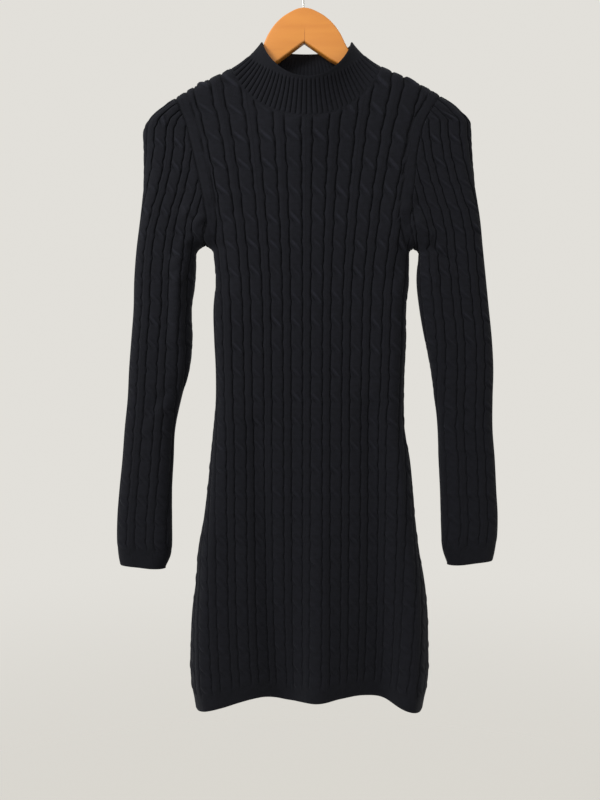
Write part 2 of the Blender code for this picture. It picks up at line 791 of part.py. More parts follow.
def body_outline(pattern):
    """The front's or back's outline, anticlockwise: hem, left side, armhole, shoulder, neck, right side."""
    hem = hem_places(pattern)
    sides = {}
    for hand in (RIGHT, LEFT):
        foot = hem[0 if hand == RIGHT else -1, 1]
        z = np.concatenate([side_heights(hand, foot)[1:], armhole_heights(hand)])
        x = under_gap(z, hand, body_edge, -1)
        height = np.where(z > GAP[hand]["top"] + 1, pattern.rise(x, z), z)
        sides[hand] = np.stack([hand * pattern.reach(z, hand), height], axis=-1)
    neck = neckline(pattern, 0.0, neck_angles(pattern))[::-1]
    shoulders = {}
    for hand, corner in ((LEFT, neck[0]), (RIGHT, neck[-1])):
        across = np.linspace(sides[hand][-1, 0], corner[0], SHOULDER_PLACES + 1)[1:-1]
        crest = at(CREST, "z", CENTRE + across) + CREST_RUN
        shoulders[hand] = np.stack([across, crest], axis=-1)
    loop = [hem, sides[LEFT], shoulders[LEFT], neck, shoulders[RIGHT][::-1], sides[RIGHT][::-1]]
    return np.concatenate(loop), sides


def band_row(pattern, edge, up):
    """Places above a hem or a cuff, each at its own share of the cloth's reach. edge holds the places
    below them.

    -1 names the pattern's lower half, which is the right or the front, and 1 the other one."""
    share = np.linspace(-1, 1, len(edge))
    height = edge[:, 1] + up
    reach = np.where(share < 0, pattern.reach(height, -1), pattern.reach(height, 1))
    return np.stack([share * reach, height], axis=-1)[1:-1]


def body_panel(name, face):
    pattern = BodyPattern(face)
    full, sides = body_outline(pattern)
    loop = moved_in(full, SEAM / 2)
    hem = loop[:HEM_PLACES]
    heights = crossing_heights()

    def repeat(height):
        return at(REPEAT, "wide", height)

    def edge_room(points, room):
        """Which places lie further than room from the side or armhole edge."""
        reach = {
            hand: np.interp(points[:, 1], sides[hand][:, 1], hand * sides[hand][:, 0])
            for hand in (RIGHT, LEFT)
        }
        return np.minimum(reach[LEFT] - points[:, 0], reach[RIGHT] + points[:, 0]) > room

    def over_crest(points, room):
        return at(CREST, "z", CENTRE + points[:, 0]) + CREST_RUN - points[:, 1] > room

    def above_hem(points, room):
        return points[:, 1] - np.interp(points[:, 0], hem[:, 0], hem[:, 1]) > room

    def allowed(points, room, band):
        armhole = points[:, 1] > max(GAP[hand]["top"] for hand in (RIGHT, LEFT)) - INNER_ROOM["body"]
        keep = distance_inside(points, loop) > room
        keep &= over_crest(points, CREST_ROWS[-1] + SHOULDER_ROOM)
        return keep & (~armhole | edge_room(points, band))

    cables = np.arange(-BODY_CABLES, BODY_CABLES + 1)
    points, rises, creases = knitting(repeat, cables, heights, pattern.turn)
    keep = allowed(points, RAISED_ROOM, BAND_RIB + SEAM_ROOM)
    keep &= above_hem(points, HEM_BAND)
    outer = joined(loop, points, rises, creases, keep)
    rows = crest_rows(pattern, sides, SHOULDER_RISE)
    for hand in (RIGHT, LEFT):
        places = sides[hand][-len(armhole_heights(hand)) :]
        places = places[over_crest(places, CREST_ROWS[-1] + SHOULDER_ROOM - 1)]
        for inward, rise in ((BAND_RIB / 2, RIB_RISE), (BAND_RIB, CHANNEL_RISE)):
            rows.append((places - [hand * inward, 0], rise))
    rows.append((band_row(pattern, hem, HEM_ROW), PLAIN_RISE))
    outer = with_rows(*outer, rows)
    repeats = np.arange(-BODY_CABLES, BODY_CABLES + 0.5, 0.5)
    lattice, height = np.meshgrid(repeats, heights[::2], indexing="ij")
    points = np.stack([lattice * repeat(height), height], axis=-1).reshape(-1, 2)
    none = np.zeros((0, 2), int)
    room = INNER_ROOM["body"]
    inner = joined(loop, points, np.zeros(len(points)), none, allowed(points, room, room))
    inner = with_rows(*inner, crest_rows(pattern, sides, 0.0))
    up = {LEFT: HEM_PLACES + np.arange(len(sides[LEFT])), RIGHT: len(loop) - 1 - np.arange(len(sides[RIGHT]))}
    sewn = []
    for hand in (RIGHT, LEFT):
        sewn.append((up[hand][-1 - len(armhole_heights(hand)) :], *armhole_seam(hand, face, -1)))
    add_object(name, *panel_mesh(pattern, loop, [], sewn, outer, inner), KNIT)


def crest_rows(pattern, sides, rise):
    """Rows of places below each shoulder seam, where the cloth rounds over the hanger."""
    rows = []
    neck = neckline(pattern, 0.0, np.array([0.0, math.pi]))
    for hand, corner in ((RIGHT, neck[0]), (LEFT, neck[1])):
        for down in CREST_ROWS:
            armhole = np.interp(sides[hand][-1, 1] - down, sides[hand][:, 1], sides[hand][:, 0])
            fall = NECK_FALL[pattern.face] * down
            inner = corner[0] + hand * (SEAM_ROOM + fall)
            across = np.linspace(armhole - hand * SEAM_ROOM, inner, SHOULDER_PLACES)
            crest = at(CREST, "z", CENTRE + across) + CREST_RUN
            rows.append((np.stack([across, crest - down], axis=-1), rise))
    return rows


def sleeve_panel(name, hand):
    pattern = SleevePattern(hand)
    cuff = SLEEVE[hand]["height"][0]
    share = np.linspace(-1, 1, CUFF_PLACES)
    low = cuff + CUFF_TILT[hand] * np.cos(math.pi * share)
    bottom = np.stack([share * pattern.reach(low, FRONT), low], axis=-1)
    seam = side_heights(hand, cuff)[1:]
    armhole = armhole_heights(hand)
    apex = np.array([[0.0, armhole[-1] - SEAM / 2]])
    sides = {}
    for face in (FRONT, BACK):
        z = np.concatenate([seam, armhole[:-1]])
        shrink = np.where(z > GAP[hand]["top"] + 1, SEAM / 2, 0)
        sides[face] = np.stack([face * (pattern.reach(z, face) - shrink), z], axis=-1)
    loop = np.concatenate([bottom, sides[BACK], apex, sides[FRONT][::-1]])
    last = len(loop) - 1
    closed = [(len(bottom) - 1, 0)] + [(len(bottom) + i, last - i) for i in range(len(seam))]

    def repeat(height):
        return np.full_like(height, SLEEVE_REPEAT)

    heights = np.arange(cuff + CUFF_BAND + SEAM_ROOM, SLEEVE_TOP, SLEEVE_CROSSING)[::-1]

    def beside_head(points):
        return (points[:, 1] < HEAD_FOOT - HEAD_SKIP) | (np.abs(points[:, 0]) > HEAD_BAND)

    cables = np.arange(-SLEEVE_CABLES - 1, SLEEVE_CABLES + 2)
    points, rises, creases = knitting(repeat, cables, heights, pattern.turn)
    points[:, 0] -= SLEEVE_LEAN * smooth((points[:, 1] - LEAN_FOOT) / LEAN_HIGH)
    keep = (distance_inside(points, loop) > RAISED_ROOM) & (points[:, 1] > cuff + CUFF_BAND)
    keep &= beside_head(points)
    outer = joined(loop, points, rises, creases, keep)
    cuff_row = (band_row(pattern, bottom, CUFF_ROW), PLAIN_RISE)
    outer = with_rows(*outer, [cuff_row] + head_rows(loop, PLAIN_RISE))
    repeats = np.arange(-SLEEVE_CABLES, SLEEVE_CABLES + 0.5, 0.5)
    lattice, height = np.meshgrid(repeats, heights[1::2], indexing="ij")
    points = np.stack([lattice * SLEEVE_REPEAT, height], axis=-1).reshape(-1, 2)
    none = np.zeros((0, 2), int)
    keep = (distance_inside(points, loop) > INNER_ROOM["sleeve"]) & beside_head(points)
    inner = with_rows(*joined(loop, points, np.zeros(len(points)), none, keep), head_rows(loop, 0.0))
    sewn = []
    for face in (FRONT, BACK):
        first = len(bottom) + len(seam) - 1
        number = first + np.arange(len(armhole) + 1)
        if face == FRONT:
            number = last - number + len(bottom)
        place, normal = armhole_seam(hand, face, 1)
        place[-1, 1] = 0
        normal[-1, 1] = 0
        sewn.append((number, place, normal))
    add_object(name, *panel_mesh(pattern, loop, closed, sewn, outer, inner), KNIT)


def head_rows(loop, rise):
    """Rows of places down a sleeve head, along its fold and beside it, where it rounds over the hanger."""
    rows = []
    for across in sorted({face * row for face in (FRONT, BACK) for row in HEAD_ROWS}):
        height = np.arange(HEAD_FOOT, SHOULDER_HIGH, HEAD_STEP)
        places = np.stack([np.full_like(height, across), height], axis=-1)
        rows.append((places[distance_inside(places, loop) > ROW_ROOM], rise))
    return rows


def collar_ring(share, face):
    """The collar's inner face at its upper edge. share runs from the right peak to the left one, 0 to 1."""
    angle = share * math.pi
    x = COLLAR_MIDDLE - COLLAR_HALF * np.cos(angle)
    out = np.sin(angle).clip(0) ** COLLAR_ROUND
    drop = np.sin(angle).clip(0) ** COLLAR_FALL[face]
    return np.stack([x, face * COLLAR_OUT[face] * out, COLLAR_PEAK - COLLAR_DROP[face] * drop], axis=-1)


def collar():
    """A ring of ribs from the neckline up, of closed rows of places between its seam and its upper edge."""
    low, base_normal, high = [], [], []
    for face in (FRONT, BACK):
        pattern = BodyPattern(face)
        angles = neck_angles(pattern)
        line = neckline(pattern, SEAM, angles)
        points, normals = pattern.place(line[:, 0], line[:, 1])
        points[[0, -1], 1] = 0
        normals[[0, -1], 1] = 0
        normals /= np.linalg.norm(normals, axis=1, keepdims=True)
        fine = np.linspace(0, 1, FINE_PLACES)
        long = lengths(collar_ring(fine, face))
        share = np.interp(np.linspace(0, long[-1], COLLAR_RIBS[face] + 1), long, fine)
        top = collar_ring(share, face)
        order = slice(0, -1) if face == FRONT else slice(-1, 0, -1)
        low.append(points[order])
        base_normal.append(normals[order])
        high.append(top[order])
    low, base_normal, high = (np.concatenate(part) for part in (low, base_normal, high))
    ribs = len(low)

    def row(up):
        """The inner face's places at a share of the collar's height, and the outward normals there."""
        around = np.roll(low, -1, axis=0) - np.roll(low, 1, axis=0)
        around = around + up * (np.roll(high, -1, axis=0) - np.roll(high, 1, axis=0) - around)
        normal = np.cross(around, high - low)
        normal /= np.linalg.norm(normal, axis=1, keepdims=True)
        bow = 4 * up * (1 - up) * COLLAR_BOW
        return low + up * (high - low) - bow * normal, normal

    def between(places):
        return (places + np.roll(places, -1, axis=0)) / 2

    points = []
    faces = []

    def put(places):
        points.append(places)
        return sum(map(len, points[:-1])) + np.arange(len(places))

    base, _ = row(0.0)
    rim_low = put(base + base_normal * (WALL + PLAIN_RISE))
    rows = {}
    for up in (RIB_FOOT, RIB_TOP):
        inside, normal = row(up)
        valley = put(inside + normal * (WALL + CHANNEL_RISE))
        middle = between(normal)
        middle /= np.linalg.norm(middle, axis=1, keepdims=True)
        rows[up] = (valley, put(between(inside) + middle * (WALL + COLLAR_RIB_RISE)))
    plain = {}
    for up in (BAND_FOOT, 1.0):
        inside, normal = row(up)
        plain[up] = put(inside + normal * (WALL + PLAIN_RISE))
    inner = [put(row(up)[0]) for up in (0.0, 0.5, 1.0)]

    def quads(lower, upper):
        for i in range(ribs):
            j = (i + 1) % ribs
            faces.extend([(lower[i], lower[j], upper[j]), (lower[i], upper[j], upper[i])])

    def fan(plain_row, valley, peak, flip):
        """Between a plain row and a ribbed one."""
        for i in range(ribs):
            j = (i + 1) % ribs
            found = [
                (plain_row[i], peak[i], valley[i]),
                (plain_row[i], plain_row[j], peak[i]),
                (plain_row[j], valley[j], peak[i]),
            ]
            faces.extend([f[::-1] for f in found] if flip else found)

    valley, peak = rows[RIB_FOOT]
    upper_valley, upper_peak = rows[RIB_TOP]
    fan(rim_low, valley, peak, False)
    for i in range(ribs):
        j = (i + 1) % ribs
        faces.extend([(valley[i], peak[i], upper_peak[i]), (valley[i], upper_peak[i], upper_valley[i])])
        faces.extend([(peak[i], valley[j], upper_valley[j]), (peak[i], upper_valley[j], upper_peak[i])])
    fan(plain[BAND_FOOT], upper_valley, upper_peak, True)
    quads(plain[BAND_FOOT], plain[1.0])
    quads(plain[1.0], inner[2])
    quads(inner[2], inner[1])
    quads(inner[1], inner[0])
    quads(inner[0], rim_low)
    add_object("collar", np.concatenate(points), faces, KNIT)


def hanger():
    """The flat wooden hanger: half its outline, mirrored, given its thickness and rounded edges."""
    top = [(x, arm_top(x)) for x in np.linspace(ARM_STARTS, ARM_REACH, ARM_PLACES)]
    under = [(x, arm_top(x) - ARM_HEIGHT) for x in np.linspace(*UNDER_ENDS, UNDER_PLACES)]
    half = BELL + top + ARM_TIP + under + [NECK_FOOT]
    outline = [tilted(x, z) for x, z in half + [NECK_NOTCH] + [(-x, z) for x, z in half[:0:-1]]]
    count = len(outline)
    mesh = bpy.data.meshes.new("hanger_wood")
    back = WOOD_THICK / 2
    points = [(x * MM, y * MM, z * MM) for y in (-back, back) for x, z in outline]
    sides = [(i, (i + 1) % count, (i + 1) % count + count, i + count) for i in range(count)]
    mesh.from_pydata(points, [], [tuple(range(count - 1, -1, -1)), tuple(range(count, 2 * count))] + sides)
    mesh.shade_smooth()
    mesh.set_sharp_from_angle(angle=math.radians(50))
    wood = bpy.data.objects.new("hanger_wood", mesh)
    bpy.context.scene.collection.objects.link(wood)
    mesh.materials.append(material("hanger_wood", *WOOD))
    edge = wood.modifiers.new("rounded edges", "BEVEL")
    edge.width = WOOD_EDGE * MM
    edge.segments = EDGE_STEPS
    edge.limit_method = "ANGLE"
    edge.angle_limit = math.radians(60)


def hook():
    """The bent wire: a straight stem, a bend to the side, and round over the rail."""
    ring = [
        (HOOK_RADIUS * math.cos(a), -HOOK_RADIUS + WIRE / 2 + HOOK_RADIUS * math.sin(a))
        for a in np.radians(np.linspace(*HOOK_ANGLES, HOOK_PLACES))
    ]
    stem = [(0, STEM_FOOT), (0, (STEM_FOOT + STEM_TOP) / 2), (0, STEM_TOP)]
    line = [tilted(x, z) for x, z in stem + STEM_BEND + ring]
    curve = bpy.data.curves.new("hanger_hook", "CURVE")
    curve.dimensions = "3D"
    curve.bevel_depth = WIRE / 2 * MM
    curve.bevel_resolution = 3
    curve.use_fill_caps = True
    spline = curve.splines.new("POLY")
    spline.points.add(len(line) - 1)
    for point, (x, z) in zip(spline.points, line):
        point.co = (x * MM, 0, z * MM, 1)
    piece = bpy.data.objects.new("hanger_hook", curve)
    bpy.context.scene.collection.objects.link(piece)
    curve.materials.append(material("hanger_hook", *STEEL))


def main():
    for old in list(bpy.data.objects):
        bpy.data.objects.remove(old, do_unlink=True)
    body_panel("body_front", FRONT)
    body_panel("body_back", BACK)
    sleeve_panel("sleeve_right", RIGHT)
    sleeve_panel("sleeve_left", LEFT)
    collar()
    hanger()
    hook()


main()
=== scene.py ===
"""The looks of a cable knit sweater dress on its wooden hanger.

The tables and functions work in millimetres, and add_mesh() turns them into metres. +Z is up, the front faces
-Y, and "right" and "left" are the wearer's, so the right side is at -X. A knitted panel is a flat pattern on
the hanging dress: its first coordinate is the length across, along the cloth, and its second is the height.
"""

import math

import bpy
import numpy as np
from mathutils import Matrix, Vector
from mathutils.geometry import delaunay_2d_cdt


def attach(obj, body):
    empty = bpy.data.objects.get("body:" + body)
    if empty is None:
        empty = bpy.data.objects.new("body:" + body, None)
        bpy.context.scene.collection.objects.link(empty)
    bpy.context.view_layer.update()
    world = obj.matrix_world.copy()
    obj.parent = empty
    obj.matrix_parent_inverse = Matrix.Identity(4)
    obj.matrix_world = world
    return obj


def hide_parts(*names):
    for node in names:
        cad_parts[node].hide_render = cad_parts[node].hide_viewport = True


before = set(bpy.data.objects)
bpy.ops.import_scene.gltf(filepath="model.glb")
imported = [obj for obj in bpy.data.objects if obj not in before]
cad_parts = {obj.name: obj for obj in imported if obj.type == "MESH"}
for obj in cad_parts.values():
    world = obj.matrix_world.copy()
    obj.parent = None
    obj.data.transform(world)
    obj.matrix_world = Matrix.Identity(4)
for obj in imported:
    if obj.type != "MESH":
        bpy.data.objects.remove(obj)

MM = 0.001
FRONT = -1
BACK = 1
RIGHT = -1
LEFT = 1

# The knitted wall.
WALL = 2.0  # the cloth without its relief
SKIN = 4.3  # from the plain inner face out to the garment's outline
PLAIN_RISE = 0.9
RIB_RISE = 1.9
CABLE_RISE = 2.5
SEAM = 0.03  # between the panels, so narrow that little light comes through

# The hanger.
TILT = math.radians(1.2)  # the wearer's left arm of it is the higher one
WOOD_THICK = 12.0
WOOD_ROUND = 2.6  # the radius of its edges
WOOD_STEPS = 5
ARM = {"height": -141.3, "at": 100, "slope": 0.46, "bend_from": 130, "bend": 0.0022}  # the arms' upper edge
ARM_FROM = 96.0  # where the bell shape goes over into the arms
ARM_REACH = 190.0
ARM_HEIGHT = 19.0
REST = 0.8  # from the arms' upper edge to the cloth
BELL = [
    (0, -57), (8, -58.2), (16, -61.6), (26.5, -67.6), (36, -75.6), (43, -84),
    (48.7, -92.8), (52.6, -101), (56, -108.5), (61, -117), (68, -125), (79, -133),
]
TIP = [(194.5, -197.5), (196.5, -202.5), (195.5, -208), (190.5, -211.5)]
UNDERSIDE = [(0, -103), (34.5, -127.5)]  # the slope below the bell, from its middle to its corner
WIRE = 3.0
HOOK_RADIUS = 19.0
HOOK_TURN = (-35, 200)  # in degrees, from the stem's bend to the tip
STEM_FOOT = -56.7
STEM_TOP = -44.0
STEM_BEND = [(2.2, -38.5), (8, -33.5)]

# How the cloth rounds over at its edges.
CREST_ROUND = 14.0
CREST_RUN = CREST_ROUND * (math.pi / 2 - 1)  # by which a pattern runs on over the shoulders
OUTER_ROUND = 18.0
GAP_ROUND = 20.0
BLEND_WIDE = 60.0  # across an armhole, from the body's depth to the sleeve's
BLEND_HIGH = 100.0  # below the gap's top, until body and sleeve are wholly parted
CREST_END = 246.0  # how far out the crest is the sleeve head's edge
HEAD_FOOT = -270.0  # the height where that ends
STRETCH = {"by": 1.3, "below": 9.0, "over": 7.5}  # a sleeve's last millimetres, into the shoulder's corner

# The knitting.
CENTRE = 5.5  # the middle rib of the front and of the back
FIRST_CROSSING = -235.0
CROSSING_STEP = 36.5
STEP_LOSS = 0.48  # by which each step down is shorter than the one before it
CROSSINGS = 26
CROSSINGS_ABOVE = 4
SLEEVE_REPEAT = 25.2
SLEEVE_CROSSING = 29.5
ABOVE_SLEEVE = -130.0  # the height up to which a sleeve's crossings are counted
HEM_BAND = 15.0  # the plain bands
HEM_FADE = 10.0  # from the plain band to the full relief
CUFF_BAND = 22.0
CUFF_FADE = 8.0
CUFF_TILT = {RIGHT: 2.6, LEFT: 3.0}  # by which its outer side is higher than its middle


def table(columns, rows):
    """One array for each named column, with the rows sorted by their first one."""
    return dict(zip(columns.split(), np.array(sorted(rows), float).T))


# The body's outline, and how far its front and back stand from the plane of the hanger.
BODY = table("height right left front back", [
    (-140, -120, 143, 12, 12),
    (-200, -120, 143, 14, 13),
    (-300, -120, 143, 19, 15),
    (-380, -120, 143, 22, 16),
    (-420, -117, 143, 22, 16),
    (-460, -120, 139, 23, 16),
    (-500, -119, 139, 24, 17),
    (-540, -117, 137, 25, 17),
    (-580, -117, 136, 26, 17),
    (-620, -120, 137, 28, 18),
    (-660, -124, 144, 30, 19),
    (-700, -128, 148, 32, 20),
    (-740, -133, 151, 34, 20),
    (-780, -140, 156, 36, 21),
    (-820, -143, 163, 38, 22),
    (-860, -148, 167, 40, 23),
    (-900, -150, 168, 41, 24),
    (-940, -150, 168, 42, 25),
    (-990, -143, 160, 42, 25),
])

SLEEVE = {
    RIGHT: table("height outer inner half_depth", [
        (-160, -214, -142, 13),
        (-226, -214, -142, 13),
        (-260, -213, -142, 14),
        (-300, -214, -142, 15),
        (-340, -218, -142, 16),
        (-380, -223, -142, 16),
        (-420, -226, -143, 16),
        (-460, -227, -148, 16),
        (-500, -230, -147, 16),
        (-540, -233, -151, 15),
        (-580, -235, -162, 15),
        (-620, -239, -170, 14),
        (-660, -242, -172, 14),
        (-700, -246, -174, 13),
        (-740, -249, -174, 13),
        (-775, -249, -174, 13),
        (-787, -248, -175, 12),
        (-803.3, -245, -182, 12),
    ]),
    LEFT: table("height outer inner half_depth", [
        (-160, 226, 155, 13),
        (-220, 226, 155, 13),
        (-260, 228, 155, 14),
        (-300, 232, 155, 15),
        (-340, 238, 155, 16),
        (-380, 242, 155, 16),
        (-420, 246, 152, 16),
        (-460, 250, 156, 16),
        (-500, 254, 163, 16),
        (-540, 256, 171, 15),
        (-580, 255, 176, 15),
        (-620, 255, 180, 14),
        (-660, 258, 181, 14),
        (-700, 260, 183, 13),
        (-740, 262, 184, 13),
        (-765, 261, 185, 13),
        (-780, 259, 186, 12),
        (-798, 255, 192, 12),
    ]),
}

# Past the hanger's ends the sleeve heads fall away: the inner face's outline there.
HEAD = {
    RIGHT: [(-246, -275), (-214, -229), (-204, -211)],
    LEFT: [(209, -198.5), (220, -209), (231, -227), (262, -275)],
}

# The armhole seams above the underarm, seen from the front.
ARMHOLE = {
    RIGHT: [(-345, -128), (-297, -134.5), (-246, -146.5), (-211, -155), (-191, -163.5), (-150, -181)],
    LEFT: [(-335, 142), (-297, 147), (-248, 152.5), (-210, 163), (-191, 174), (-150, 200)],
}

# The height at which the gap between body and sleeve begins to close in its round top.
GAP_FOOT = {RIGHT: -388.0, LEFT: -386.0}

# The hem: its height and how far it waves out, from the right side seam (-1) to the left one (1).
HEM = table("across front back front_wave back_wave", [
    (-1.0, -988, -988, 0, 0),
    (-0.85, -983.5, -981, 12, 3),
    (-0.6, -971.5, -974, 6, 5),
    (-0.35, -964, -971, -6, -3),
    (-0.15, -970.5, -970, -12, -5),
    (0.05, -967.5, -971, 10, 4),
    (0.25, -964, -971, 1, 3),
    (0.45, -965.5, -971, -12, -5),
    (0.65, -974.5, -973, -9, 2),
    (0.85, -983.5, -979, 12, 5),
    (1.0, -984, -984, 0, 0),
])
WAVE_FADE = 150.0  # up from the hem

# The width of one repeat of the body's knitting, stretched by the shoulders.
REPEAT = table("height wide", [
    (-140, 41),
    (-180, 39),
    (-220, 36),
    (-273, 32.8),
    (-345, 29.4),
    (-427, 26.7),
    (-520, 25.7),
    (-770, 24.8),
    (-1000, 24.8),
])

# The largest folds: a ridge, or a trough where its rise is below zero, from one place to another.
FOLDS = {
    FRONT: table("x0 z0 x1 z1 wide rise", [
        (-152, -336, -122, -368, 9, 5.0),
        (136, -330, 166, -364, 9, 5.0),
        (-166, -400, -165, -500, 10, 3.5),
        (-118, -330, -96, -420, 11, -4.0),
        (148, -325, 120, -420, 11, -4.0),
        (-60, -620, -36, -960, 16, -5.0),
        (88, -600, 104, -960, 18, -5.0),
    ]),
    BACK: table("x0 z0 x1 z1 wide rise", [
        (-110, -350, -60, -470, 14, -3.0),
        (132, -350, 84, -470, 14, -3.0),
    ]),
}

# Finer creases over those folds, each from one place to another: a trough where its rise is below zero.
CREASES = {
    FRONT: table("x0 z0 x1 z1 wide rise", [
        (-146, -352, -131, -345, 4, 1.6),
        (-128, -348, -117, -372, 4, -1.8),
        (-158, -372, -167, -405, 5, 1.5),
        (150, -350, 138, -358, 4, 1.8),
        (163, -352, 172, -384, 5, -2.0),
        (186, -388, 206, -404, 5, -1.8),
        (192, -404, 210, -424, 5, 1.5),
        (-108, -352, -84, -330, 8, -1.2),
        (120, -350, 96, -326, 8, -1.3),
        (-170, -560, -200, -590, 7, -1.4),
        (-178, -585, -206, -622, 7, 1.0),
        (188, -560, 214, -596, 7, -1.5),
        (194, -596, 222, -618, 6, 1.1),
        (-70, -500, -30, -478, 12, -0.9),
        (30, -470, 88, -508, 12, -0.9),
        (-110, -700, -88, -800, 12, -1.4),
        (118, -690, 130, -830, 12, -1.4),
        (20, -760, 26, -950, 13, 1.5),
        (-134, -342, -151, -372, 4, 1.8),
        (-151, -372, -162, -425, 4, 1.8),
        (-143, -352, -156, -394, 4, -1.4),
        (-165, -418, -167, -488, 5, 1.8),
        (-178, -424, -181, -500, 6, -1.3),
        (144, -342, 163, -374, 4, 1.8),
        (163, -374, 176, -426, 4, 1.6),
        (184, -392, 207, -426, 7, -1.8),
    ]),
    BACK: table("x0 z0 x1 z1 wide rise", [
        (-142, -350, -128, -344, 4, 1.5),
        (-126, -352, -112, -380, 5, -1.8),
        (152, -352, 140, -346, 4, 1.5),
        (166, -360, 176, -392, 5, -1.7),
        (-100, -340, -70, -322, 9, -1.1),
        (112, -345, 84, -330, 9, -1.2),
        (-176, -565, -208, -600, 7, -1.5),
        (196, -570, 226, -600, 7, -1.3),
        (-60, -505, 40, -480, 13, -1.0),
        (-20, -700, -10, -940, 16, 1.6),
        (70, -690, 82, -930, 15, -1.8),
        (-88, -720, -96, -950, 15, -1.6),
    ]),
}

# The neckline, and the collar that stands on it.
NECK_HALF = 101.0
NECK_MIDDLE = 4.5
NECK_DEPTH = {FRONT: -210.0, BACK: -160.0}
NECK_POWER = {FRONT: 1.3, BACK: 0.9}
NECK_FORWARD = 12.0  # how far the front stands out below the collar
NECK_BUMP = {"middle": -206.0, "wide": 55.0, "high": 65.0}
COLLAR_HALF = 58.4
COLLAR_MIDDLE = 5.6
COLLAR_PEAK = -103.5
COLLAR_DROP = {FRONT: 58.5, BACK: 5.0}
COLLAR_FALL = {FRONT: 1.3, BACK: 1.0}
COLLAR_OUT = {FRONT: 36.0, BACK: 20.0}
COLLAR_RIBS = {FRONT: 38, BACK: 34}
COLLAR_RIB_RISE = 1.5
COLLAR_BOW = 3.0
COLLAR_TALL = 70.0  # along the cloth, for its stitches
COLLAR_FADE = 0.06  # the share of the collar's height in which its ribs begin and end
COLLAR_EDGE = 0.035  # and in which its upper edge rounds off
COLLAR_ROUND = 0.7  # by how much that edge rounds off
COLLAR_INSIDE = {"rise": 0.35, "rib": 0.7}  # its ribbed inner face

# The level slices that the patterns are measured on.
SLICE_STEP = 2.0
SLICE_PLACES = 160
SHARES = 181
BODY_FOOT = -1000
BODY_TOP = -80
SLEEVE_FOOT = -830
LEAST_SLICE = 0.05  # the shortest one, at a sleeve's top


def at(columns, name, where):
    """A smooth curve through one column: cubic pieces whose slope at a row lies between its neighbours'."""
    keys = next(iter(columns.values()))
    values = columns[name]
    slopes = np.gradient(values, keys)
    where = np.clip(where, keys[0], keys[-1])
    row = np.clip(np.searchsorted(keys, where) - 1, 0, len(keys) - 2)
    span = keys[row + 1] - keys[row]
    t = (where - keys[row]) / span
    ends = (1 + 2 * t) * (1 - t) ** 2 * values[row] + t**2 * (3 - 2 * t) * values[row + 1]
    return ends + span * (t * (1 - t) ** 2 * slopes[row] - t**2 * (1 - t) * slopes[row + 1])


def smooth(t):
    """0 below 0 and 1 above 1, with a smooth rise between."""
    t = np.clip(t, 0, 1)
    return t * t * (3 - 2 * t)


def bump(t):
    """A round hill, 1 in its middle and near 0 two widths away."""
    return np.exp(-t * t)


def quarter_round(t):
    """The profile of a quarter circle: 0 at its edge and 1 from a radius away."""
    return np.sqrt(np.clip(1 - (1 - np.clip(t, 0, 1)) ** 2, 0, 1))


def pad(t, power):
    """A flat hill with round edges: 1 in its middle and 0 at -1 and 1. A higher power makes it squarer."""
    return np.sqrt(np.clip(1 - np.abs(t) ** power, 0, 1))


def unit(vectors):
    """The same directions, with a length of 1."""
    return vectors / np.maximum(np.linalg.norm(vectors, axis=-1, keepdims=True), 1e-12)


def between(where, keys, places):
    """Places read from a line of them, whose keys rise along it."""
    return np.stack([np.interp(where, keys, part) for part in places.T], axis=-1)


def quads(grid, ring=False):
    """The four corners of each quad of a grid, in their order round it. A ring's rows are closed."""
    beside = np.roll(grid, -1, axis=1)
    last = None if ring else -1
    return grid[:-1, :last], beside[:-1, :last], beside[1:, :last], grid[1:, :last]


def triangles(*threes):
    """One list of triangles from the corners of quads, taken three at a time."""
    return np.concatenate([np.stack(three, axis=2).reshape(-1, 3, *three[0].shape[2:]) for three in threes])


def arm_top(x):
    """The upper edge of the hanger's arms, on the upright hanger: a slope that steepens further out."""
    x = np.abs(x)
    bend = ARM["bend"] * np.clip(x - ARM["bend_from"], 0, None) ** 2
    return ARM["height"] - ARM["slope"] * (x - ARM["at"]) - bend


def tilted(x, z):
    """A place on the upright hanger, once it has tilted about the hook's bearing point."""
    return x * math.cos(TILT) - z * math.sin(TILT), x * math.sin(TILT) + z * math.cos(TILT)


def crest_table():
    """The inner face's highest line between the sleeve heads: over the hanger's arms, then down past them."""
    reach = np.linspace(-ARM_REACH - 6, ARM_REACH + 6, 25)
    x, z = tilted(reach, arm_top(reach) + REST)
    return table("x z", HEAD[RIGHT] + list(zip(x, z)) + HEAD[LEFT])


CREST = crest_table()


def body_edge(z, hand):
    """The inner face's side edge, below the underarm."""
    return at(BODY, "right" if hand == RIGHT else "left", z) - hand * SKIN


def sleeve_edge(z, hand):
    """The inner face's edge of a sleeve, beside the body."""
    return at(SLEEVE[hand], "inner", z) + hand * SKIN


def gap_of(hand):
    """The gap beside the body: the middle and half width at its round top's foot, and its highest place."""
    foot = GAP_FOOT[hand]
    sleeve, body = sleeve_edge(foot, hand), body_edge(foot, hand)
    half = abs(sleeve - body) / 2
    return {"foot": foot, "middle": (sleeve + body) / 2, "half": half, "top": foot + half}


GAP = {hand: gap_of(hand) for hand in (RIGHT, LEFT)}
ARMHOLE_LINE = {
    hand: table("height x", ARMHOLE[hand] + [(gap["top"], gap["middle"])]) for hand, gap in GAP.items()
}


def gap_distance(x, z, hand):
    """How far a place lies outside the gap between body and sleeve."""
    gap = GAP[hand]
    beside = np.maximum(hand * (body_edge(z, hand) - x), hand * (x - sleeve_edge(z, hand)))
    over = np.hypot(x - gap["middle"], z - gap["foot"]) - gap["half"]
    return np.where(z > gap["foot"], over, beside)


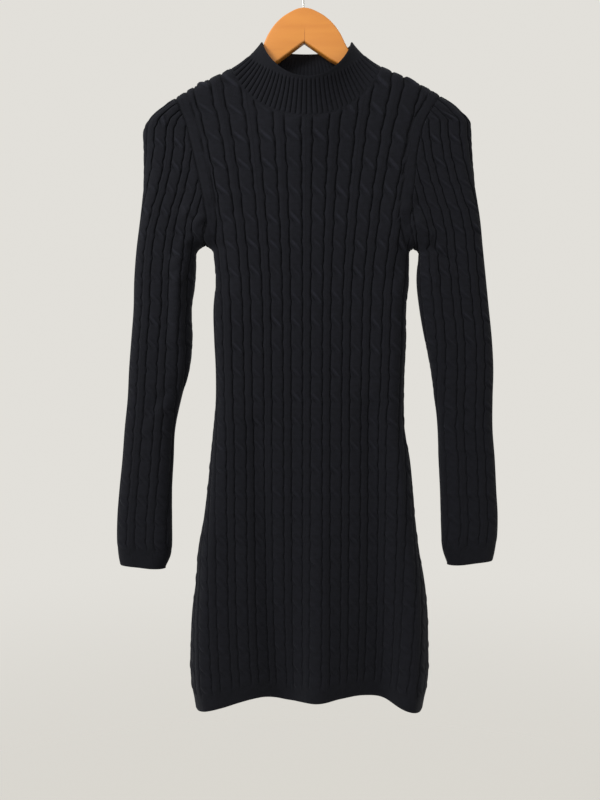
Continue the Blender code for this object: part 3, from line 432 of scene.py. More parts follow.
def body_share(x, z, hand):
    """1 on the body and 0 on the sleeve, with a smooth change across the armhole."""
    gap = GAP[hand]
    over = smooth(0.5 + hand * (gap["middle"] - x) / BLEND_WIDE)
    middle = (body_edge(z, hand) + sleeve_edge(z, hand)) / 2
    below = (hand * (middle - x) > 0).astype(float)
    return below + (over - below) * smooth((z - gap["foot"] + BLEND_HIGH) / BLEND_HIGH)


def hem_at(x, z, name):
    """A column of the hem's table at a place's share of the body's width."""
    right, left = body_edge(z, RIGHT), body_edge(z, LEFT)
    return at(HEM, name, 2 * (x - right) / (left - right) - 1)


def fullness(x, z, face):
    """How far the inner face stands from the plane of the hanger, away from the garment's edges."""
    name = "front" if face == FRONT else "back"
    body = at(BODY, name, z)
    body = body + hem_at(x, z, name + "_wave") * np.exp((hem_at(x, z, name) - z) / WAVE_FADE)
    if face == FRONT:
        beside = bump((x - NECK_MIDDLE) / NECK_BUMP["wide"])
        body = body + NECK_FORWARD * beside * bump((z - NECK_BUMP["middle"]) / NECK_BUMP["high"])
    for hand in (RIGHT, LEFT):
        share = body_share(x, z, hand)
        body = np.where(hand * x > 0, share * body + (1 - share) * at(SLEEVE[hand], "half_depth", z), body)
    for folds in (FOLDS[face], CREASES[face]):
        for x0, z0, x1, z1, wide, rise in zip(*folds.values()):
            long, high = x1 - x0, z1 - z0
            along = np.clip(((x - x0) * long + (z - z0) * high) / (long**2 + high**2), 0, 1)
            body = body + rise * bump(np.hypot(x - x0 - along * long, z - z0 - along * high) / wide)
    return body


def side_depth(x, z, face):
    """The inner face's y with every rounding but the one over the shoulders."""
    round_off = 1.0
    for hand in (RIGHT, LEFT):
        round_off = round_off * quarter_round(gap_distance(x, z, hand) / GAP_ROUND)
        outer = hand * (at(SLEEVE[hand], "outer", z) - x) - SKIN
        round_off = round_off * quarter_round(outer / OUTER_ROUND)
    return face * fullness(x, z, face) * round_off


def under_gap(z, hand, edge, side):
    """The edge beside the gap, round its top, then the armhole. side is 1 for the sleeve, -1 for the body."""
    gap = GAP[hand]
    cap = np.sqrt(np.clip(gap["half"] ** 2 - (z - gap["foot"]) ** 2, 0, None))
    over = np.where(z < gap["top"], gap["middle"] + side * hand * cap, at(ARMHOLE_LINE[hand], "x", z))
    return np.where(z > gap["foot"], over, edge(z, hand))


def fold_x(z, hand):
    """The inner face's outer edge: the sleeve's outer fold, and the crest above it."""
    x = np.linspace(0, hand * CREST_END, 1200)
    by_crest = hand * np.interp(z, at(CREST, "z", x)[::-1], x[::-1])
    by_sleeve = hand * at(SLEEVE[hand], "outer", z) - SKIN
    return hand * np.where(z < HEAD_FOOT, by_sleeve, np.minimum(by_crest, by_sleeve))


def armhole_top(hand):
    """The height at which the armhole's line meets the crest."""
    z = np.linspace(GAP[hand]["top"], ARMHOLE_LINE[hand]["height"][-1], 2000)
    return z[np.argmax(at(CREST, "z", at(ARMHOLE_LINE[hand], "x", z)) <= z)]


class Half:
    """Half of a pattern on its surface, from level slices: points and normals by the share of a slice."""

    def __init__(self, heights, start, end, surface, flip, flat_rows):
        self.heights = heights
        turn = 0.5 - 0.5 * np.cos(np.linspace(0, math.pi, SLICE_PLACES))
        points = surface(start[:, None] + (end - start)[:, None] * turn, heights[:, None] + 0 * turn)
        long = np.cumsum(np.linalg.norm(np.diff(points, axis=1), axis=2), axis=1)
        long = np.concatenate([np.zeros((len(heights), 1)), long], axis=1)
        self.reach = long[:, -1]
        share = np.linspace(0, 1, SHARES)
        self.points = np.array([between(share * row[-1], row, places) for row, places in zip(long, points)])
        normals = flip * np.cross(np.gradient(self.points, axis=1), np.gradient(self.points, axis=0))
        normals[:, -1, 1] = np.where(flat_rows, 0, normals[:, -1, 1])
        self.normals = unit(normals)

    def length(self, height):
        """The length of cloth of the slice at a height."""
        return np.interp(height, self.heights, self.reach)

    def read(self, share, height):
        """Points and unit normals, each read between the four nearest places of the slices."""
        row = np.clip((height - self.heights[0]) / SLICE_STEP, 0, len(self.heights) - 1.001)
        column = np.clip(share, 0, 1) * (SHARES - 1)
        i, j = row.astype(int), np.minimum(column.astype(int), SHARES - 2)
        up, on = (row - i)[..., None], (column - j)[..., None]
        both = np.concatenate([self.points, self.normals], axis=2)
        low, high = ((1 - on) * both[row, j] + on * both[row, j + 1] for row in (i, i + 1))
        found = (1 - up) * low + up * high
        return found[..., :3], unit(found[..., 3:])


class Pattern:
    """A panel's flat pattern, from two halves: -1 is the one whose places across are below zero."""

    def reach(self, height, side):
        """The length of cloth from the pattern's middle to its edge."""
        return self.halves[side].length(height)

    def reach_at(self, across, height):
        """The same, on the side of each place."""
        return np.where(across < 0, self.reach(height, -1), self.reach(height, 1))

    def stretched(self, height):
        """The height at which the halves are read."""
        return height

    def place(self, across, height):
        """The inner face's points and its outward normals."""
        points, normals = np.zeros((2, len(across), 3))
        for side, half in self.halves.items():
            here = side * across >= 0
            share = side * across[here] / half.length(height[here])
            points[here], normals[here] = half.read(share, self.stretched(height[here]))
        return points, normals


class BodyPattern(Pattern):
    """The flat pattern of the front or the back. Across is measured from the middle rib."""

    def __init__(self, face):
        self.face = face
        self.turn = -face  # 1 where across runs to the right for someone who looks at the cloth
        self.halves = {}
        self.edge = {}
        heights = np.arange(BODY_FOOT, BODY_TOP, SLICE_STEP)
        middle = np.full(len(heights), CENTRE)
        for hand in (RIGHT, LEFT):
            under = armhole_top(hand) - CREST_ROUND
            over = armhole_top(hand) - CREST_ROUND * (1 - np.cos(np.linspace(1.5, 0, 30)))
            z = np.concatenate([np.arange(BODY_FOOT, under, 1), over])
            x = under_gap(z, hand, body_edge, -1)
            rise = self.rise(x, z)
            flat_rows = heights < GAP[hand]["top"]
            half = Half(heights, middle, np.interp(heights, rise, x), self.surface, hand * -face, flat_rows)
            self.halves[hand] = half
            self.edge[hand] = (rise, half.length(rise))

    def surface(self, x, height):
        """The inner face: upright up to the shoulders' rounding, and then over it."""
        top = at(CREST, "z", x)
        angle = np.clip((top + CREST_RUN - height) / CREST_ROUND, 0, math.pi / 2)
        z = np.where(angle < math.pi / 2, top - CREST_ROUND * (1 - np.cos(angle)), height)
        return np.stack([x, side_depth(x, z, self.face) * np.sin(angle), z], axis=-1)

    def rise(self, x, z):
        """The height in the pattern of a place at this x and z."""
        under = (at(CREST, "z", x) - z) / CREST_ROUND
        over = at(CREST, "z", x) + CREST_ROUND * (math.pi / 2 - 1 - np.arccos(np.clip(1 - under, -1, 1)))
        return np.where(under < 1, over, z)

    def reach(self, height, side):
        """The length of cloth from the middle rib to the edge."""
        return np.interp(height, *self.edge[side])


class SleevePattern(Pattern):
    """The flat pattern of a sleeve. Across is measured from the outer fold, below zero on the front."""

    def __init__(self, hand):
        self.turn = hand
        self.top = armhole_top(hand)
        self.halves = {}
        heights = np.arange(self.top - 0.2, SLEEVE_FOOT, -SLICE_STEP)[::-1]
        for face in (FRONT, BACK):
            start = fold_x(heights, hand)
            end = under_gap(heights, hand, sleeve_edge, 1)
            end = np.where(hand * (start - end) < LEAST_SLICE, start - hand * LEAST_SLICE, end)

            def surface(x, z, face=face):
                y = side_depth(x, z, face) * quarter_round((at(CREST, "z", x) - z) / CREST_ROUND)
                return np.stack([x, y, z], axis=-1)

            half = Half(heights, start, end, surface, hand * face, heights < GAP[hand]["top"])
            half.normals[:, 0, 1] = 0
            half.normals[:, 0] = unit(half.normals[:, 0])
            self.halves[face] = half

    def stretched(self, height):
        """The height at which the halves are read, higher in the last few millimetres below the corner."""
        return height + STRETCH["by"] * smooth((height - self.top + STRETCH["below"]) / STRETCH["over"])


# The mesh: places across a half repeat from a cable's middle, in repeats, denser beside the channels, and
# places between one crossing and the next, in steps.
HALF_COLUMNS = (0.07, 0.14, 0.2, 0.245, 0.275, 0.295, 0.318, 0.345, 0.42)
ROWS_IN_STEP = (-0.42, -0.3, -0.21, -0.16, -0.13, -0.1, -0.055, 0, 0.055, 0.1, 0.13, 0.16, 0.21, 0.3, 0.42)
SLEEVE_ROWS = np.arange(-13, 14) / 27  # the same for the sleeves, whose heads curve more
BODY_REPEATS = (-10, 9)  # from the middle rib to the right and to the left
SLEEVE_REPEATS = (-5, 5)
PAD_HALF = 0.285  # half a cable's width, in repeats
PAD_SQUARE = 3.2  # how flat its top is
CHANNEL = 0.307  # from a cable's middle to the channel beside it
SLANT = 0.82  # the upper strand's run down to the right in its crossing, in steps for each repeat
SLANT_ENDS = 2.4  # and by how much more at its ends
STRAND_HALF = 0.1  # half of the upper strand's height, in steps
STRAND_REACH = 0.27  # from a cable's middle to where the strand dives under
STRAND_SQUARE = 6
GROOVE = 0.17  # from the upper strand's middle to the groove beside it
GROOVE_HALF = 0.06
CROSSING_LIFT = 1.1
CROSSING_DIP = 0.6
DIP_HALF = 0.4
GROOVE_LOW = 1.7  # the groove under the strand, deepest at its left
GROOVE_HIGH = 0.9  # the groove over it, deepest at its right
GROOVE_END = 0.16  # past a cable's middle
GROOVE_FADE = 0.3
RIB_HALF = 0.18
RIB_SQUARE = 6
CHANNEL_FLOOR = -0.35
CHANNEL_SIDE = 0.9  # the rise by which a channel's floor has run out
PINCH = 0.058  # by which the channels swing in and out at a crossing, in repeats
PINCH_APART = 0.15  # from a crossing's middle to where a side is pulled, in steps
PINCH_HALF = 0.12
PINCH_BACK = 0.25  # the share by which the other side is pulled the other way
PINCH_WIDE = 0.07
UNEVEN = [(0.18, 5.3, 19), (0.12, 3.7, -31)]  # its share, its turn from cable to cable, and its height
AWAY = {"least": 0.25, "from": 2, "over": 11}  # how the crossings fade near a panel's sides
WANDER = {"by": 1.4, "turn": 2.1, "high": 47}  # how the crossings lie higher or lower from cable to cable
WALES = 10  # columns of stitches in a repeat
ROOM_LEVEL = 3.0  # the mesh's rows are level this near a panel's side
ROOM_FREE = 8.0  # and follow the strands this far further in
ROOM_HIGH = 11.0  # as it stands this far above and below them too
# The share of the body's relief that is left, as the cloth hangs flatter towards the hem.
FLATTER = table("height share", [(-240, 1.0), (-350, 0.92), (-560, 0.78), (-900, 0.52)])
STITCH_TALL = 1.9
EDGE_RISE = 0.3  # at an open edge, which rounds off over the next length
EDGE_ROUND = 1.5
BAND_RIB = 16.0  # the plain rib along an armhole
BAND_START = 12.0  # above the underarm, until it is whole
BAND_GAP = 1.5  # from it to the first cable
TOP_PLAIN = 1.0  # below a body panel's upper edge
TOP_FADE = 3.0
HEM_START = -970.0  # where the search for a column's ends begins
TOP_START = -170.0
SEARCHES = 40
SLEEVE_END = 1.5  # below the sleeve's highest place, for its last row
SLEEVE_FLATTER = 150.0  # by which a sleeve's relief is read higher up than the body's
LATTICE = (12.0, 15.0)  # of a wall's plain inner face, across and up
# The sleeve's knitting leans round to the front above the underarm: by how much, from where, over how much.
SLEEVE_LEAN = 16.0
LEAN_FOOT = -375.0
LEAN_HIGH = 150.0
# The rise that the material's painted shade and highlight see as 0 and as 1.
LOWEST = -0.6
HIGHEST = 3.5


def crossing_heights():
    """The heights of the body's cable crossings, from the shoulders down."""
    count = np.arange(-CROSSINGS_ABOVE, CROSSINGS)
    return FIRST_CROSSING - CROSSING_STEP * count + STEP_LOSS * count * (count - 1) / 2


def phase_of(height, crossings):
    """0 at a crossing, -0.5 halfway to the next one up and 0.5 halfway to the next one down."""
    count = np.interp(height, crossings[::-1], np.arange(len(crossings), dtype=float)[::-1])
    return count - np.round(count)


def cable_place(u):
    """The distance from the nearest cable's middle, in repeats. Cables are halfway between whole numbers."""
    return u - 0.5 - np.round(u - 0.5)


def wander(u, height):
    """A slow shift of each cable's crossings up or down, in millimetres."""
    cable = np.round(u - 0.5)
    return WANDER["by"] * np.sin(WANDER["turn"] * cable + height / WANDER["high"])


def swing(u, phase, turn):
    """How far the channels on both sides of a cable swing sideways at a crossing, in repeats."""
    c = cable_place(u) * turn
    side = np.sign(c)
    apart = side * PINCH_APART
    pull = bump((phase + apart) / PINCH_HALF) - PINCH_BACK * bump((phase - apart) / PINCH_HALF)
    return -turn * side * PINCH * pull * bump((np.abs(c) - CHANNEL) / PINCH_WIDE)


def slant(c):
    """How far below a crossing's middle its upper strand lies, in steps: an S that runs down to the right."""
    inside = np.clip(c, -PAD_HALF, PAD_HALF)
    back = np.clip((0.5 - np.abs(c)) / (0.5 - PAD_HALF), 0, 1)
    return (SLANT * inside + SLANT_ENDS * inside**3) * back


def uneven(u, height):
    """A crossing's share of the full relief, from 0.6 to 1.2, by two slow waves: no two are pulled alike."""
    cable = np.round(u - 0.5)
    share = 0.9
    for part, turn, high in UNEVEN:
        share = share + part * np.sin(turn * cable + height / high)
    return share


def away(from_side):
    """The share of a crossing's height that is left near a panel's side or its outer fold."""
    return AWAY["least"] + (1 - AWAY["least"]) * smooth((from_side - AWAY["from"]) / AWAY["over"])


def with_channel(raised):
    """The rise of pads and ribs with a channel's floor between them."""
    return raised + CHANNEL_FLOOR * (1 - smooth(raised / CHANNEL_SIDE))


def knitted_relief(u, phase, turn, share):
    """The rise of a place of the knitting over the plain wall, and its column of stitches.

    A cable is a round-edged pad that sinks towards each crossing, where the upper strand lies over it between
    two grooves: one under its left half and one over its right half."""
    c = cable_place(u) * turn
    s = phase - slant(c)
    s = s - np.round(s)
    strand = pad(c / STRAND_REACH, STRAND_SQUARE)
    lift = (CROSSING_LIFT + CROSSING_DIP) * share * bump(s / STRAND_HALF) * strand
    low = GROOVE_LOW * bump((s - GROOVE) / GROOVE_HALF) * smooth((GROOVE_END - c) / GROOVE_FADE)
    high = GROOVE_HIGH * bump((s + GROOVE) / GROOVE_HALF) * smooth((GROOVE_END + c) / GROOVE_FADE)
    sunk = CABLE_RISE - CROSSING_DIP * bump(s / DIP_HALF) - (low + high) * share
    cable = pad(c / PAD_HALF, PAD_SQUARE) * sunk + lift
    rib = RIB_RISE * pad((0.5 - np.abs(c)) / RIB_HALF, RIB_SQUARE)
    wale = (c - 0.5 * slant(c) * bump(s / STRAND_HALF)) * WALES
    return with_channel(np.maximum(cable, rib)), wale


def plained(rise, plain, inside):
    """The rise for the painted shade and highlight, with a share of the relief left, and the same rounded off
    at open edges.
    """
    seen = PLAIN_RISE + (rise - PLAIN_RISE) * plain
    return seen, EDGE_RISE + (seen - EDGE_RISE) * smooth(inside / EDGE_ROUND)


def columns_of(first, last):
    """Places across, in repeats, from first to last."""
    offsets = np.array(HALF_COLUMNS)
    one = np.concatenate([[0], offsets, [0.5], 1 - offsets[::-1]])
    return np.concatenate([first + 0.5 + k + one for k in range(last - first)])


def rows_of(columns, crossings, turn, low, high, room, steps):
    """Heights of the mesh's rows at its columns, from low to high: denser at crossings, along the strands.

    room gives how far inside the panel's sides each place lies. The rows end level there."""
    count = np.arange(len(crossings), dtype=float)
    places = (count[::-1, None] + np.array(steps)[::-1]).reshape(-1, 1) + 0 * columns
    level = np.interp(places, count, crossings)
    least = np.min([room(level + by) for by in (-ROOM_HIGH, 0, ROOM_HIGH)], axis=0)
    free = np.clip((least - ROOM_LEVEL) / ROOM_FREE, 0, 1)
    rows = np.interp(places + slant(cable_place(columns) * turn) * free, count, crossings)
    rows = np.clip(rows - wander(columns, rows) * free, low, high)
    return np.concatenate([low + 0 * rows[:1], rows, high + 0 * rows[:1]])


def area_of(across, height):
    """The flat area of a grid's quads, by their diagonals."""
    run, rise = across[1:, 1:] - across[:-1, :-1], height[1:, 1:] - height[:-1, :-1]
    other, fall = across[1:, :-1] - across[:-1, 1:], height[1:, :-1] - height[:-1, 1:]
    return np.abs(run * fall - rise * other).sum() / 2


def distance_inside(points, edges):
    """How far inside a closed outline each place lies, below zero outside. edges are its pairs of places."""
    a, b = edges[None, :, 0], edges[None, :, 1]
    p = points[:, None]
    along = np.clip(((p - a) * (b - a)).sum(-1) / np.maximum(((b - a) ** 2).sum(-1), 1e-12), 0, 1)
    near = np.linalg.norm(p - a - along[..., None] * (b - a), axis=-1).min(axis=1)
    crosses = (a[..., 1] > p[..., 1]) != (b[..., 1] > p[..., 1])
    with np.errstate(divide="ignore", invalid="ignore"):
        run = (b[..., 0] - a[..., 0]) / (b[..., 1] - a[..., 1])
        beyond = p[..., 0] < a[..., 0] + (p[..., 1] - a[..., 1]) * run
    return np.where((crosses & beyond).sum(axis=1) % 2 == 1, near, -near)


def single_edges(faces):
    """The directed edges that only one triangle has."""
    edges = np.concatenate([faces[:, [0, 1]], faces[:, [1, 2]], faces[:, [2, 0]]])
    _, first, counts = np.unique(np.sort(edges, axis=1), axis=0, return_index=True, return_counts=True)
    return edges[first[counts == 1]]


def plain_inside(flat, edges):
    """Triangles for a wall's plain inner face, between its outline's places and a coarse lattice inside them.

    Returns the outline's places, the lattice's, and triangles that number both, the outline's first."""
    rim = np.unique(edges)
    low, high = flat.min(axis=0), flat.max(axis=0)
    lines = [np.arange(*part) for part in zip(low, high, LATTICE)]
    grid = np.stack(np.meshgrid(*lines), axis=-1).reshape(-1, 2)
    grid = grid[distance_inside(grid, flat[edges]) > LATTICE[0] / 2]
    places = np.concatenate([flat[rim], grid])
    found, _, faces, origins, _, _ = delaunay_2d_cdt(
        [Vector(p) for p in places.tolist()], np.searchsorted(rim, edges).tolist(), [], 1, 1e-5
    )
    if len(found) != len(places) or any(len(origin) != 1 for origin in origins):
        raise ValueError("two places of an outline meet")
    faces = np.array([[origins[v][0] for v in face] for face in faces])
    a, b, c = (places[faces[:, i]] for i in range(3))
    signed = (b[:, 0] - a[:, 0]) * (c[:, 1] - a[:, 1]) - (b[:, 1] - a[:, 1]) * (c[:, 0] - a[:, 0])
    return rim, grid, np.where(signed[:, None] > 0, faces, faces[:, ::-1])


def wall(name, pattern, across, height, rise, seen, wale, finish, welded=None):
    """A knitted panel from a grid of places in its pattern: outer face, plain inner face and rims.

    Places of the grid that were held at the outline coincide, and become one. seen is the rise by which the
    material paints shade in the channels and a highlight on the crossings. welded is the height below which
    the grid's first and last columns are one seam."""
    flat = np.stack([across.ravel(), height.ravel()], axis=-1)
    _, first, same = np.unique(np.round(flat, 2), axis=0, return_index=True, return_inverse=True)
    same = same.reshape(across.shape)
    flat, rise, seen, wale = flat[first], rise.ravel()[first], seen.ravel()[first], wale.ravel()[first]
    a, b, c, d = quads(same)
    faces = triangles((a, b, d), (b, c, d))
    faces = faces[(faces != np.roll(faces, -1, axis=1)).all(axis=1)]
    places, normals = pattern.place(*flat.T)
    count = len(flat)
    seam = np.arange(count)
    if welded is not None:
        last, start = (same[height[:, 0] < welded, column] for column in (-1, 0))
        places[last], normals[last], seam[last] = places[start], normals[start], start
    outside = places + normals * (WALL + rise)[:, None]
    rim, grid, inner = plain_inside(flat, single_edges(faces))
    inner = inner[:, ::-1]
    lattice, _ = pattern.place(*grid.T)
    number = np.full(count, -1)
    number[rim] = count + np.arange(len(rim))
    inside = np.concatenate([number[seam[rim]], count + len(rim) + np.arange(len(grid))])
    p, q = single_edges(seam[faces]).T
    rims = np.concatenate([np.array([q, p, number[p]]).T, np.array([q, number[p], number[q]]).T])
    points = np.concatenate([outside, places[rim], lattice])
    shown = np.concatenate([seen, np.full(len(rim) + len(grid), PLAIN_RISE)])
    plain = np.concatenate([flat[rim], grid]) / [SLEEVE_REPEAT / WALES, STITCH_TALL]
    stitches = np.concatenate([np.stack([wale, flat[:, 1] / STITCH_TALL], axis=-1), plain])
    uv = stitches[np.concatenate([faces, count + inner, rims])]
    faces = np.concatenate([seam[faces], inside[inner], rims])
    if pattern.turn < 0:
        faces, uv = faces[:, ::-1], uv[:, ::-1]
    return add_mesh(name, points, faces, finish, uv, shown)


def placed(name, data):
    """A new object of the scene."""
    made = bpy.data.objects.new(name, data)
    bpy.context.scene.collection.objects.link(made)
    return made


def add_mesh(name, points, faces, finish, uv=None, shown=None):
    """A named piece from points in millimetres and triangles, smooth but for its sharp edges.

    shown is each point's rise, kept as the attribute "raised" from 0 at LOWEST to 1 at HIGHEST, by which the
    knit material paints shade and highlights."""
    used, faces = np.unique(faces, return_inverse=True)
    faces = faces.reshape(-1, 3)
    mesh = bpy.data.meshes.new(name)
    mesh.vertices.add(len(used))
    mesh.vertices.foreach_set("co", (points[used] * MM).astype(np.float32).ravel())
    mesh.loops.add(faces.size)
    mesh.loops.foreach_set("vertex_index", faces.astype(np.int32).ravel())
    mesh.polygons.add(len(faces))
    mesh.polygons.foreach_set("loop_start", np.arange(0, faces.size, 3, dtype=np.int32))
    if uv is not None:
        mesh.uv_layers.new(name="stitches").data.foreach_set("uv", uv.astype(np.float32).ravel())
    if shown is not None:
        raised = ((shown[used] - LOWEST) / (HIGHEST - LOWEST)).clip(0, 1).astype(np.float32)
        mesh.attributes.new("raised", "FLOAT", "POINT").data.foreach_set("value", raised)
    mesh.update(calc_edges=True)
    mesh.validate()
    mesh.shade_smooth()
    mesh.set_sharp_from_angle(angle=math.radians(60))
    mesh.materials.append(finish)
    return placed(name, mesh)


def neckline(pattern, thetas):
    """The neckline's places in the pattern, from the right shoulder to the left."""
    x = NECK_MIDDLE - NECK_HALF * np.cos(thetas)
    corners = at(CREST, "z", NECK_MIDDLE + NECK_HALF * np.array([-1, 1])) + CREST_RUN
    corner = corners[0] + (corners[1] - corners[0]) * (1 - np.cos(thetas)) / 2
    fall = np.sin(thetas).clip(0) ** NECK_POWER[pattern.face]
    return np.stack([x - CENTRE, corner + (NECK_DEPTH[pattern.face] - corner) * fall], axis=-1)


def top_line(pattern, across, height):
    """The pattern's upper edge: the shoulder seams, and the neckline between them."""
    neck = neckline(pattern, np.linspace(0, math.pi, 300))
    crest = at(CREST, "z", pattern.place(across, height)[0][:, 0]) + CREST_RUN
    inside = (across > neck[0, 0]) & (across < neck[-1, 0])
    return np.where(inside, np.interp(across, neck[:, 0], neck[:, 1]), crest)


def hem_line(pattern, across, height):
    """The hem's height at a place across."""
    return at(HEM, "front" if pattern.face == FRONT else "back", across / pattern.reach_at(across, height))


def body_panel(name, face, finish):
    """The front or the back: its columns run from the hem to the shoulders and the neckline."""
    pattern = BodyPattern(face)
    crossings = crossing_heights()
    columns = columns_of(*BODY_REPEATS)

    def across_of(u, height):
        """The place across of a place in the knitting, held inside the seams, and its crossing's phase."""
        phase = phase_of(height + wander(u, height), crossings)
        across = (u + swing(u, phase, pattern.turn)) * at(REPEAT, "wide", height)
        low, high = SEAM / 2 - pattern.reach(height, RIGHT), pattern.reach(height, LEFT) - SEAM / 2
        return np.clip(across, low, high), phase

    def settled(line, start):
        """The height at which each column meets a line across the pattern."""
        height = np.full(len(columns), start)
        for _ in range(SEARCHES):
            height = line(pattern, across_of(columns, height)[0], height)
        return height

    def room(height):
        return pattern.reach_at(columns, height) - np.abs(columns) * at(REPEAT, "wide", height)

    low = settled(hem_line, HEM_START)
    high = settled(top_line, TOP_START)
    height = rows_of(columns, crossings, pattern.turn, low, high, room, ROWS_IN_STEP)
    u = columns + 0 * height
    across, phase = across_of(u, height)
    from_edge = pattern.reach_at(across, height) - np.abs(across)
    rise, wale = knitted_relief(u, phase, pattern.turn, uneven(u, height) * away(from_edge))
    gap_top = np.where(across < 0, GAP[RIGHT]["top"], GAP[LEFT]["top"])
    band = RIB_RISE * pad((from_edge - BAND_RIB / 2) / (BAND_RIB / 2 - 1), RIB_SQUARE)
    beside = smooth(BAND_RIB + BAND_GAP - from_edge) * smooth((height - gap_top) / BAND_START)
    rise = rise + (with_channel(band) - rise) * beside
    plain = smooth((height - low - HEM_BAND) / HEM_FADE) * smooth((high - height - TOP_PLAIN) / TOP_FADE)
    plain = plain * at(FLATTER, "share", height)
    seen, rise = plained(rise, plain, np.minimum(from_edge, height - low))
    return wall(name, pattern, across, height, rise, seen, wale, finish), pattern, area_of(across, height)


def sleeve_panel(name, hand, finish):
    """A sleeve: its columns run from the cuff to the head, and the first and last meet beside the body."""
    pattern = SleevePattern(hand)
    cuff = SLEEVE[hand]["height"][0]
    gap_top = GAP[hand]["top"]
    crossings = np.arange(cuff, ABOVE_SLEEVE, SLEEVE_CROSSING)[::-1]
    columns = columns_of(*SLEEVE_REPEATS)
    share = np.clip(columns * SLEEVE_REPEAT / pattern.reach(np.array([cuff]), FRONT), -1, 1)
    low = cuff + CUFF_TILT[hand] * np.cos(math.pi * share)

    def lean(height):
        return SLEEVE_LEAN * smooth((height - LEAN_FOOT) / LEAN_HIGH)

    def room(height):
        level = columns * SLEEVE_REPEAT - lean(height)
        return pattern.reach_at(level, height) - np.abs(level)

    height = rows_of(columns, crossings, pattern.turn, low, pattern.top - SLEEVE_END, room, SLEEVE_ROWS)
    u = columns + 0 * height
    phase = phase_of(height + wander(u, height), crossings)
    free = (u + swing(u, phase, pattern.turn)) * SLEEVE_REPEAT - lean(height)
    shrink = np.where(height > gap_top, SEAM / 2, 0)
    across = np.clip(free, shrink - pattern.reach(height, FRONT), pattern.reach(height, BACK) - shrink)
    from_edge = pattern.reach_at(across, height) - np.abs(across)
    share = uneven(u, height) * away(np.minimum(from_edge, np.abs(across)))
    rise, wale = knitted_relief(u, phase, pattern.turn, share)
    plain = smooth((height - low - CUFF_BAND) / CUFF_FADE) * at(FLATTER, "share", height - SLEEVE_FLATTER)
    open_edge = np.where(height > gap_top, from_edge, np.inf)
    seen, rise = plained(rise, plain, np.minimum(open_edge, height - low))
    rise = np.where((from_edge < 0.5) & (height <= gap_top), PLAIN_RISE, rise)
    piece = wall(name, pattern, across, height, rise, seen, wale, finish, welded=gap_top)
    return piece, pattern, area_of(across, height)


COLLAR_COLUMNS = 8  # in each rib
COLLAR_ROWS = 36
# The share of the collar's height where its ribs end: in the middle, and how much lower beside the shoulders.
RIBS_END = 0.94
RIBS_LOWER = 0.42


def collar_ring(share, face):
    """The collar's inner face at its upper edge. share runs from the right peak to the left one, 0 to 1."""
    angle = share * math.pi
    x = COLLAR_MIDDLE - COLLAR_HALF * np.cos(angle)
    out = np.sin(angle).clip(0) ** 0.8
    drop = np.sin(angle).clip(0) ** COLLAR_FALL[face]
    return np.stack([x, face * COLLAR_OUT[face] * out, COLLAR_PEAK - COLLAR_DROP[face] * drop], axis=-1)


def evenly(line, count):
    """Numbers of places, with fractions, that divide a line of points into parts of the same length."""
    long = np.concatenate([[0], np.cumsum(np.linalg.norm(np.diff(line, axis=0), axis=1))])
    return np.interp(np.linspace(0, long[-1], count + 1), long, np.arange(len(line)))


def collar(name, patterns, finish):
    """The ribbed ring, from its rows between the neckline and its upper edge, outside and then inside."""
    low, foot, high, ends = [], [], [], []
    fine = np.linspace(0, 1, 600)
    for face, pattern in patterns.items():
        count = COLLAR_RIBS[face] * COLLAR_COLUMNS
        points, normals = pattern.place(*neckline(pattern, fine * math.pi).T)
        points[[0, -1], 1] = normals[[0, -1], 1] = 0
        ring = collar_ring(fine, face)
        order = slice(0, -1) if face == FRONT else slice(-1, 0, -1)
        for made, values, line in ((low, points, points), (foot, normals, points), (high, ring, ring)):
            made.append(between(evenly(line, count), np.arange(len(fine)), values)[order])
        beside = 1 - np.sin(math.pi * np.linspace(0, 1, count + 1))
        ends.append((RIBS_END - RIBS_LOWER * beside**1.1)[order])
    low, foot, high, ends = (np.concatenate(part)[None] for part in (low, foot, high, ends))
    around = low.shape[1]
    up = np.linspace(0, 1, COLLAR_ROWS)[:, None, None]
    chord, top_chord = (np.roll(ring, -1, axis=1) - np.roll(ring, 1, axis=1) for ring in (low, high))
    chord = chord + up * (top_chord - chord)
    normal = unit(np.cross(chord, high - low))
    inside = low + up * (high - low) - 4 * up * (1 - up) * COLLAR_BOW * normal
    blend = smooth(up / COLLAR_FADE)
    normal = unit(unit(foot) * (1 - blend) + normal * blend)
    across = (np.arange(around + 1) / COLLAR_COLUMNS)[None]
    phase = across[:, :-1] % 1
    up = up[..., 0]
    ribbed = smooth(up / COLLAR_FADE) * smooth((ends - up) / COLLAR_FADE)
    rib, hollow = (1 - np.abs(2 * place - 1) ** 3 for place in (phase, (phase + 0.5) % 1))
    seen = PLAIN_RISE + (CHANNEL_FLOOR + (COLLAR_RIB_RISE - CHANNEL_FLOOR) * rib - PLAIN_RISE) * ribbed
    rise = seen - COLLAR_ROUND * smooth((up - 1 + COLLAR_EDGE) / COLLAR_EDGE) ** 2
    back = COLLAR_INSIDE["rib"] * hollow * ribbed
    outer = inside + normal * (WALL + rise)[..., None]
    inner = inside + normal * (COLLAR_INSIDE["rise"] - back)[..., None]
    points = np.concatenate([outer, inner[::-1]])
    # painted shade on the inner face: darker over its ribbed part and between its ribs
    shown = np.concatenate([seen, (PLAIN_RISE + (1.6 * back - 0.6) * ribbed)[::-1]]).ravel()
    number = np.arange(len(shown)).reshape(-1, around)
    a, b, c, d = quads(np.concatenate([number, number[:1]]), ring=True)
    faces = triangles((a, b, c), (a, c, d))
    long = np.concatenate([up, up[::-1], up[:1]]) * COLLAR_TALL / STITCH_TALL
    a, b, c, d = quads(np.stack([2 * across + 0.5 + 0 * long, long + 0 * across], axis=-1))
    piece = add_mesh(name, points.reshape(-1, 3), faces, finish, triangles((a, b, c), (a, c, d)), shown)
    area = np.linalg.norm(chord[[0, -1]], axis=2).sum() / 4 * np.linalg.norm(high - low, axis=2).mean()
    return piece, area


